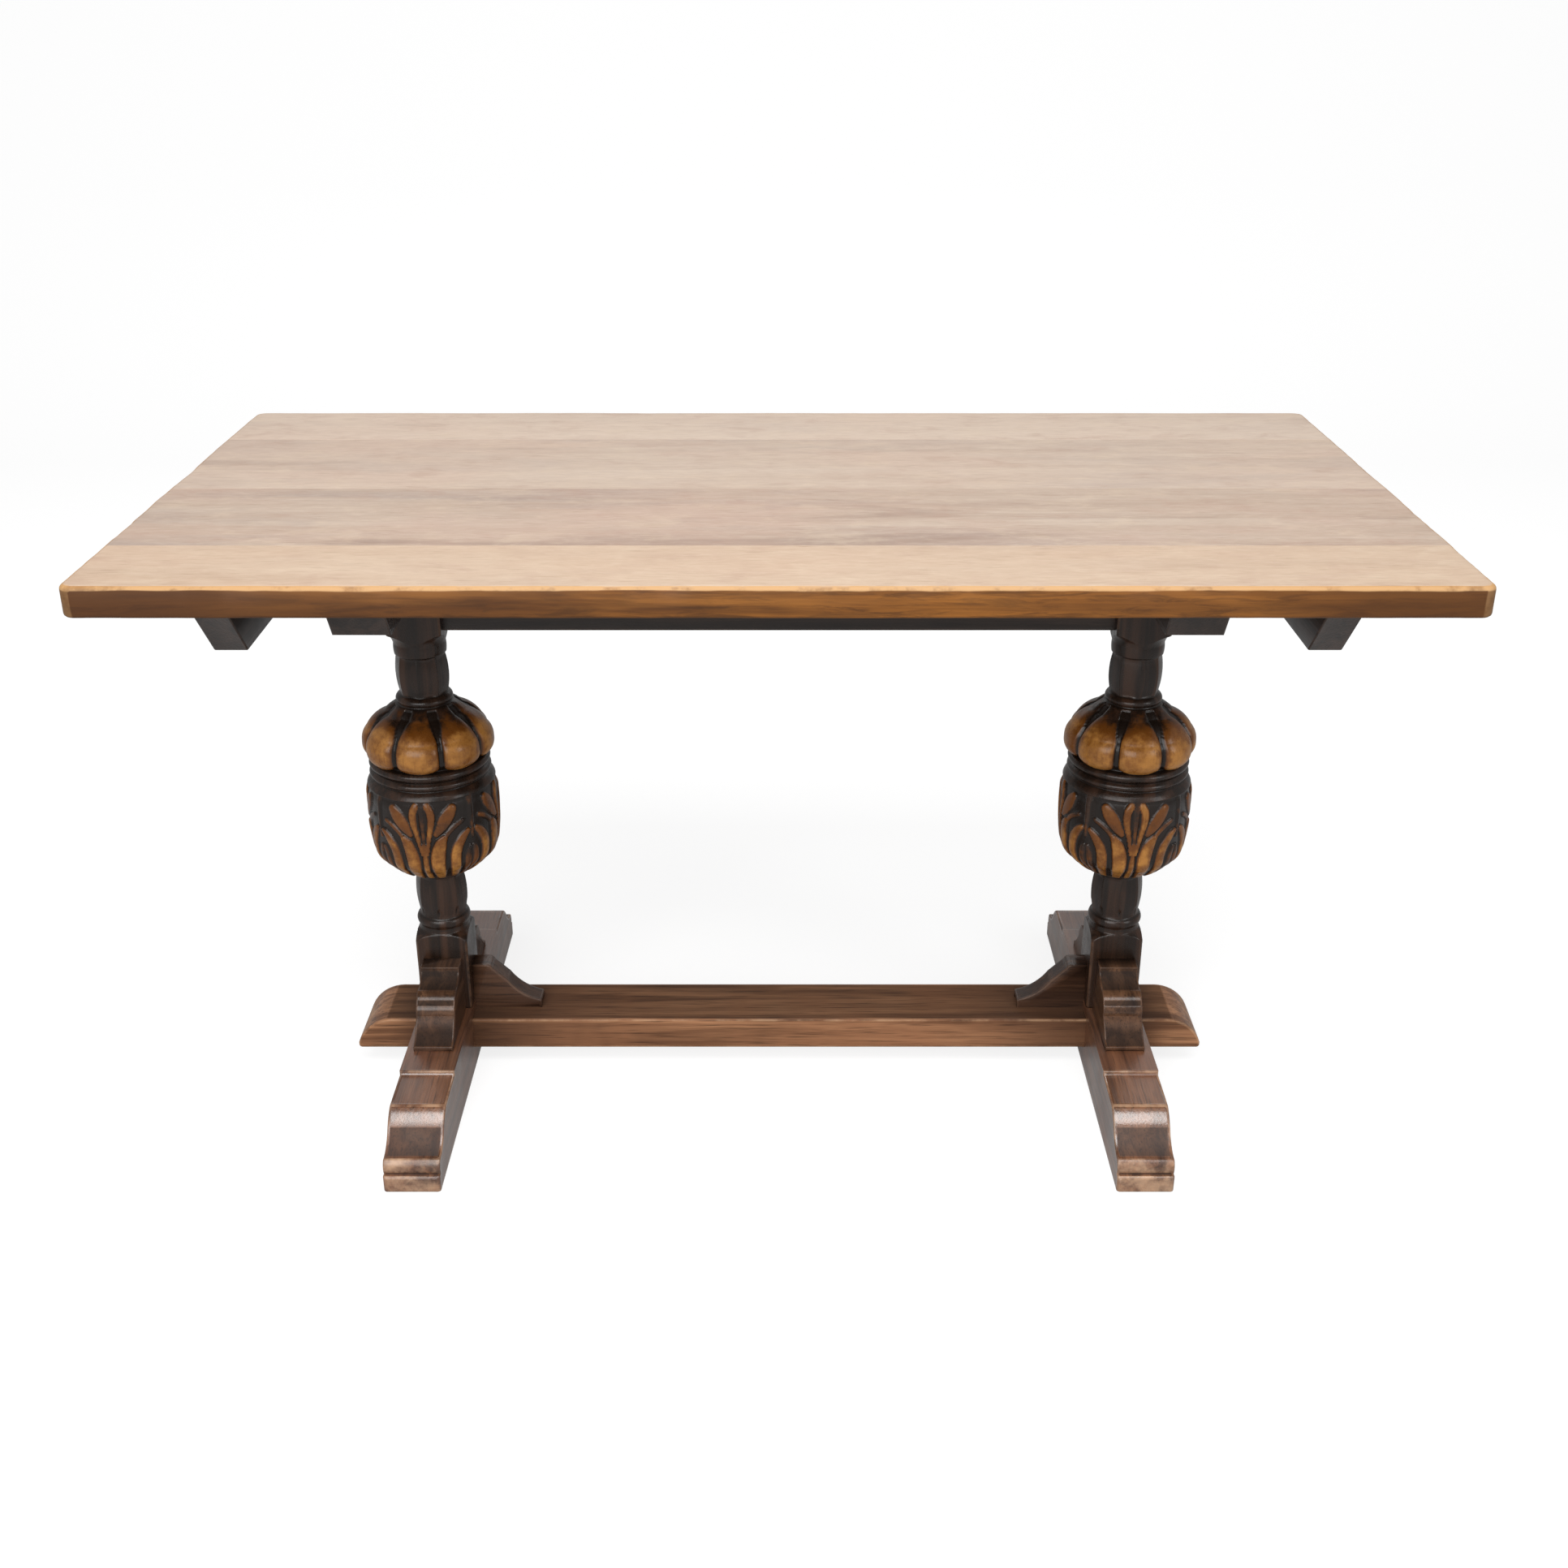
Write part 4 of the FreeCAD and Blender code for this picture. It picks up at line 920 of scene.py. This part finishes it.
def block_radius(phi):
    """A square with softened corners, as a radius at each angle from a side's middle."""
    square = BLOCK_HALF / np.cos(phi)
    corner = BLOCK_HALF * math.sqrt(2.0) - CORNER_EASE
    return np.minimum(square, corner - 0.1 * np.abs(square - corner))


def block_wear(phi, round_line, on_block, by_block):
    """Wear on the block's corners, and a little where the turned line cuts into its sides."""
    from_corner = np.abs(math.pi / 4 - np.abs(phi)) * CORNER_REACH
    corners = smooth_step(3.5, 0.5, from_corner) * on_block
    cut = 0.3 * smooth_step(1.5, 0.0, np.abs(block_radius(phi) - round_line)) * by_block
    return np.maximum(corners, cut)


def band(z, start, full, ebb, end):
    """1 between two heights, with a soft start and a soft end."""
    return smooth_step(start, full, z) * smooth_step(end, ebb, z)


def from_ridge(phi):
    """Angle to the nearest of eight lines round the leg. One is in the middle of the quarter."""
    return np.abs((phi + EIGHTH) % (2 * EIGHTH) - EIGHTH)


def neck_facets(phi, radius, depth):
    """Pares eight flats round a neck, with an arris at the middle of the quarter."""
    flat = radius * math.cos(EIGHTH) / np.cos(EIGHTH - from_ridge(phi))
    return radius + (flat - radius) * depth


def grooves(z, rows):
    """Dark lines round the leg, from rows of (height, darkness, half width, half width of the core)."""
    lines = [dark * smooth_step(reach, core, np.abs(z - height)) for height, dark, reach, core in rows]
    return np.maximum.reduce(lines)


print("block corner radius:", round(float(block_radius(np.array(math.pi / 4))), 1))

# %% [markdown]
# ### The gadrooned cover
# Eight plump lobes hang round the cover. Each lobe is a half-round ridge: full in the middle, falling
# steeply into a dark groove at either side, rounded off at its lower end and narrower towards the
# collar. The old finish was rubbed off the swell of every lobe, so "rub" follows the ridge and fades
# towards the collar.

# %% Upper half of the leg
LOBE_HALF = EIGHTH - 0.036
UPPER_GROOVES = ((421.6, 0.9, 1.6, 0.4), *((z, 0.8, 2.0, 0.6) for z in (490.0, 501.6, 551.0)))


def upper_half(phi, z):
    """Radius, rub, depth and wear of the leg from the waist to the top of the upper block."""
    round_line = np.interp(z, *UPPER_LINE) + 0.0 * phi
    in_neck = band(z, 501.6, 504.0, 548.0, 551.0)
    radius = neck_facets(phi, round_line, 0.8 * in_neck)
    lower_end = np.clip((436.0 - z) / 14.5, 0.0, 1.0)
    half_width = LOBE_HALF * np.clip(1.0 - lower_end**4, 0.0, 1.0) ** 0.4
    half_width = half_width * (1.0 - 0.32 * smooth_step(456.0, 488.0, z))
    across = np.clip(from_ridge(phi) / np.maximum(half_width, 1e-4), 0.0, 1.0)
    ridge = np.sqrt(1.0 - across**2)
    on_cover = band(z, 421.4, 422.2, 486.0, 490.0)
    depth = on_cover * (2.0 + 7.5 * np.clip(round_line / 78.8, 0.0, 1.0) ** 1.6)
    radius = radius - depth * (1.0 - np.where(across < 1.0, 0.3 + 0.7 * ridge, 0.0))
    rub = on_cover * np.where(across < 1.0, 0.35 + 0.65 * ridge, 0.0)
    rub = rub * (0.2 + 0.8 * smooth_step(484.0, 456.0, z))
    deep = on_cover * np.where(across < 1.0, 1.0 - smooth_step(0.0, 0.5, ridge), 1.0)
    deep = np.maximum(deep, grooves(z, UPPER_GROOVES))
    wear = block_wear(phi, round_line, smooth_step(575.0, 583.0, z), smooth_step(566.0, 568.0, z))
    return np.where(z > 552.0, np.minimum(radius, block_radius(phi)), radius), rub, deep, wear


print("a lobe is", round(2 * math.degrees(LOBE_HALF), 1), "degrees wide")

# %% [markdown]
# ### The carved cup
# Four palmettes climb the cup, one facing each side. A palmette is drawn as strokes on the unrolled cup:
# a stem, two ears at its head, a pair of broad upper leaves, thin strands, three pairs of lower leaves
# that curl outwards, and a short stem that it shares with its neighbour. A stroke is a line of points
# with an angle, a height and a half width. The strokes decide the height of the relief, as rounded
# ridges over a sunk ground, and each has its own share of gold.

# %% Palmette strokes
PALMETTE = {
    # name: (relief, gold at the first point, gold at the last point, points)
    # A point is (degrees from the palmette's middle, height, half width).
    "stem_head": (2.4, 0.05, 0.35, ((0, 388, 5), (0, 372, 3.6), (0, 350, 2.8), (0, 330, 2.4))),
    "stem_foot": (2.8, 0.45, 0.95, ((0, 334, 2.4), (0, 315, 3), (0, 296, 4), (0, 276, 5.6))),
    "ear": (3.4, 0.6, 0.6, (
        (5, 384, 4.6), (7.6, 376, 5), (8, 364, 4.4), (6, 350, 3.4), (3.8, 334, 2.6), (2.4, 320, 1.8),
    )),
    "upper_leaf": (3, 0.5, 0.4, ((27, 378, 6), (23, 370, 8.6), (17.5, 359, 8), (11.5, 347, 3.6))),
    "strand": (2.2, 0.3, 0.45, ((36, 360, 2.8), (28, 354, 3.2), (21.5, 346, 3), (17.5, 336, 2.2))),
    "inner_leaf": (3.8, 0.6, 1.05, (
        (18, 341, 4.4), (14.6, 333, 7.6), (12, 319, 9.2),
        (11.4, 303, 9), (12.6, 289, 8.2), (14.4, 274, 7),
    )),
    "outer_leaf": (3.5, 0.55, 0.95, (
        (40.5, 345, 3.6), (35.4, 338, 5.8), (29.8, 325, 7),
        (27.8, 310, 7), (28.8, 294, 6.8), (31.5, 276, 5.8),
    )),
    "low_leaf": (2.6, 0.2, 0.45, (
        (43, 322, 2.8), (41, 314, 4.4), (40.5, 302, 5), (41.5, 288, 4.6), (42.5, 276, 3.8),
    )),
    "side_stem": (2.2, 0.12, 0.3, ((45, 388, 4.6), (45, 370, 3.6), (45, 352, 2.8), (45, 336, 2.2))),
}
print("palmette strokes:", ", ".join(PALMETTE))

# %% Carving the strokes
STROKE_POINTS = 28


def smooth_path(points):
    """Catmull-Rom points through the given ones."""
    knots = np.array([points[0], *points, points[-1]], dtype=float)
    out = []
    for t in np.linspace(0.0, len(points) - 1 - 1e-6, STROKE_POINTS):
        i = int(t)
        u = t - i
        a, b, c, d = knots[i : i + 4]
        square = 2 * a - 5 * b + 4 * c - d
        cube = 3 * b - a - 3 * c + d
        out.append(0.5 * (2 * b + (c - a) * u + square * u**2 + cube * u**3))
    return np.array(out)


def meridian(z):
    """Length along the cup's side up to a height, so that widths stay true on the round of the bowl."""
    heights = np.linspace(255.0, 400.0, 600)
    radii = np.interp(heights, *LOWER_LINE)
    steps = np.hypot(np.diff(heights), np.diff(radii))
    return np.interp(z, heights, np.concatenate([[0.0], np.cumsum(steps)]))


def carve(phi, z):
    """Relief and gold of the palmettes over the sheet."""
    cup = np.interp(z, *LOWER_LINE)
    along = meridian(z) + 0.0 * phi
    relief = np.zeros(np.broadcast(phi, z).shape)
    gold = np.zeros_like(relief)
    degrees = np.degrees(np.abs(phi)) + 0.0 * z
    arc = np.radians(1.0) * cup  # length of one degree round the cup
    narrow = np.clip(cup / 76.0, 0.35, 1.0)
    for height, gold_first, gold_last, points in PALMETTE.values():
        path = smooth_path(points)
        best = np.full(relief.shape, 9.0)
        share = np.zeros_like(relief)
        for k in range(len(path) - 1):
            (a0, z0, w0), (a1, z1, w1) = path[k], path[k + 1]
            s0, s1 = meridian(z0), meridian(z1)
            dx, dy = (a1 - a0) * arc, s1 - s0
            px, py = (degrees - a0) * arc, along - s0
            t = np.clip((px * dx + py * dy) / np.maximum(dx * dx + dy * dy, 1e-9), 0.0, 1.0)
            width = (w0 + (w1 - w0) * t) * narrow
            ratio = np.hypot(px - dx * t, py - dy * t) / width
            closer = ratio < best
            best = np.where(closer, ratio, best)
            share = np.where(closer, (k + t) / (len(path) - 1), share)
        dome = np.sqrt(np.clip(1.0 - best**2, 0.0, 1.0))
        lifted = np.where(best < 1.0, height * (0.3 + 0.7 * dome), 0.0)
        rubbed = (gold_first + (gold_last - gold_first) * share) * smooth_step(0.05, 0.75, dome)
        above = lifted > relief
        relief = np.where(above, lifted, relief)
        gold = np.where(above, rubbed, gold)
    return relief, gold


print("points on a stroke:", STROKE_POINTS)

# %% Lower half of the leg
LOWER_GROOVES = ((191.0, 0.7, 2.2, 0.6), *((z, 0.85, 1.8, 0.5) for z in (205.4, 264.0, 398.8, 409.8)))


def lower_half(phi, z):
    """Radius, rub, depth and wear of the leg from the foot to the waist."""
    round_line = np.interp(z, *LOWER_LINE) + 0.0 * phi
    in_neck = band(z, 206.0, 209.0, 259.0, 263.0)
    # Notches, 5 mm wide and 16 mm high, are cut into the arrises at the foot of the neck.
    notch = smooth_step(1.0, 0.2, np.hypot(from_ridge(phi) * 30.0 / 2.6, (z - 214.0) / 8.0))
    radius = neck_facets(phi, round_line, 0.8 * in_neck) - 1.6 * notch
    on_cup = band(z, 270.0, 274.0, 388.2, 389.4)
    relief, gold = carve(phi, z)
    sunk = 3.2 * np.clip(round_line / 76.0, 0.3, 1.0)
    radius = radius + on_cup * (np.minimum(relief, sunk + 0.6) - sunk)
    deep = np.maximum(on_cup * smooth_step(1.6, 0.2, relief), 0.9 * notch)
    deep = np.maximum(deep, grooves(z, LOWER_GROOVES))
    wear = block_wear(phi, round_line, smooth_step(180.0, 172.0, z), smooth_step(184.0, 182.0, z))
    return np.where(z < 190.0, np.minimum(radius, block_radius(phi)), radius), on_cup * gold, deep, wear


def levels(*stops):
    """Heights for the rows of a sheet: (height, spacing up to the next height)."""
    rows = []
    for (start, spacing), (stop, _) in zip(stops, stops[1:]):
        rows += list(np.linspace(start, stop, max(1, round((stop - start) / spacing)), endpoint=False))
    return np.array([*rows, stops[-1][0]])


LOWER_ROWS = levels(
    (80, 2), (84, 12), (166, 1.2), (187, 1.1), (208, 2.4), (257, 1), (267, 0.5),
    (292, 0.8), (308, 1), (388, 0.6), (390, 1.2), (397, 0.7), (410, 1),
)
UPPER_ROWS = levels(
    (410, 0.7), (423, 0.9), (478, 0.8), (504, 2.4), (548, 1.2), (586, 12), (664, 2), (668, 1),
)
print("rows:", len(LOWER_ROWS), "below the waist,", len(UPPER_ROWS), "above it")

# %% One quarter as a sheet
COLUMNS = 88


def quarter_sheet(name, rows, shape):
    """A quarter of a leg half, closed towards the axis at both ends."""
    phi = np.linspace(-math.pi / 4, math.pi / 4, COLUMNS + 1)
    radius, rub, deep, wear = shape(phi[None, :], rows[:, None])
    wide = COLUMNS + 1
    x = radius * np.sin(phi)[None, :] * MM
    y = -radius * np.cos(phi)[None, :] * MM
    z = np.broadcast_to(rows[:, None], radius.shape) * MM
    verts = np.stack([x, y, z], axis=-1).reshape(-1, 3)
    ends = np.array([[0.0, 0.0, rows[0] * MM], [0.0, 0.0, rows[-1] * MM]])
    verts = np.concatenate([verts, ends])
    faces = []
    for row in range(len(rows) - 1):
        base = row * wide
        faces += [(base + i, base + i + 1, base + wide + i + 1, base + wide + i) for i in range(COLUMNS)]
    bottom = len(verts) - 2
    top = len(verts) - 1
    last = (len(rows) - 1) * wide
    faces += [(bottom, i + 1, i) for i in range(COLUMNS)]
    faces += [(top, last + i, last + i + 1) for i in range(COLUMNS)]
    mesh = bpy.data.meshes.new(name)
    mesh.from_pydata(verts.tolist(), [], faces)
    for label, values in (("rub", rub), ("deep", deep), ("wear", wear)):
        set_attribute(mesh, label, [*np.broadcast_to(values, radius.shape).ravel(), 0.0, 0.0])
    return mesh


print("columns in a quarter:", COLUMNS)

# %% Geometry Nodes: turn the quarter round the leg
LEG_INPUTS = {
    # name: (type, value)
    "Repeats": ("NodeSocketInt", 4),
    "Weld": ("NodeSocketFloat", 0.02 * MM),
    "Wobble": ("NodeSocketFloat", 0.5 * MM),
    "Seed": ("NodeSocketFloat", 0.0),
}


def turned_leg_tree(material):
    """Repeats a sheet round Z, welds it and gives it a hand-cut wobble."""
    tree = bpy.data.node_groups.new("turned_leg", "GeometryNodeTree")
    tree.interface.new_socket("Geometry", in_out="INPUT", socket_type="NodeSocketGeometry")
    for label, (kind, value) in LEG_INPUTS.items():
        tree.interface.new_socket(label, in_out="INPUT", socket_type=kind).default_value = value
    tree.interface.new_socket("Geometry", in_out="OUTPUT", socket_type="NodeSocketGeometry")
    given = tree.nodes.new("NodeGroupInput").outputs

    def add(kind, inputs, **settings):
        return add_node(tree, kind, inputs, **settings).outputs[0]

    turn = math_node(tree, "DIVIDE", 2.0 * math.pi, given["Repeats"])
    angle = math_node(tree, "MULTIPLY", add("GeometryNodeInputIndex", {}), turn)
    spin = add("ShaderNodeCombineXYZ", {"Z": angle})
    points = add("GeometryNodePoints", {"Count": given["Repeats"]})
    repeated = {"Points": points, "Instance": given["Geometry"], "Rotation": spin}
    real = add("GeometryNodeRealizeInstances", {0: add("GeometryNodeInstanceOnPoints", repeated)})
    welded = add("GeometryNodeMergeByDistance", {"Geometry": real, "Distance": given["Weld"]})
    waves = {"Scale": 45.0, "Detail": 2.0, "W": given["Seed"]}
    centred = math_node(tree, "SUBTRACT", add("ShaderNodeTexNoise", waves, noise_dimensions="4D"), 0.5)
    lift = math_node(tree, "MULTIPLY", centred, given["Wobble"])
    normal = add("GeometryNodeInputNormal", {})
    push = add("ShaderNodeVectorMath", {0: normal, "Scale": lift}, operation="SCALE")
    moved = add("GeometryNodeSetPosition", {"Geometry": welded, "Offset": push})
    smooth = add("GeometryNodeSetShadeSmooth", {0: moved})
    finished = add("GeometryNodeSetMaterial", {"Geometry": smooth, "Material": material})
    add_node(tree, "NodeGroupOutput", {0: finished})
    return tree


LEG_TREE = turned_leg_tree(CARVED_OAK)
SOCKETS = {item.name: item.identifier for item in LEG_TREE.interface.items_tree if item.in_out == "INPUT"}
print("tree inputs:", ", ".join(SOCKETS))

# %% Place the legs
def turned_mesh(sheet, seed, x):
    """The welded leg half as a plain mesh at its place."""
    carrier = bpy.data.objects.new("leg_carrier", sheet)
    scene.collection.objects.link(carrier)
    modifier = carrier.modifiers.new("turned_leg", "NODES")
    modifier.node_group = LEG_TREE
    modifier[SOCKETS["Seed"]] = float(seed)
    carrier.update_tag()
    turned = carrier.evaluated_get(bpy.context.evaluated_depsgraph_get())
    mesh = bpy.data.meshes.new_from_object(turned)
    carrier.modifiers.clear()
    bpy.data.objects.remove(carrier)
    mesh.transform(Matrix.Translation((x, 0.0, 0.0)))
    return mesh


cup_quarter = quarter_sheet("cup_quarter", LOWER_ROWS, lower_half)
cover_quarter = quarter_sheet("cover_quarter", UPPER_ROWS, upper_half)
for seed, node in enumerate(("leg_left", "leg_right")):
    low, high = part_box(node)
    middle = (low[0] + high[0]) / 2
    for part, sheet, shift in (("cup", cup_quarter, 0.0), ("cover", cover_quarter, 20.0)):
        mesh = turned_mesh(sheet, seed * 7.3 + shift, middle)
        add_piece(f"{node}_{part}", mesh, CARVED_OAK, node)
        print(node, part, sum(len(p.vertices) - 2 for p in mesh.polygons), "triangles")
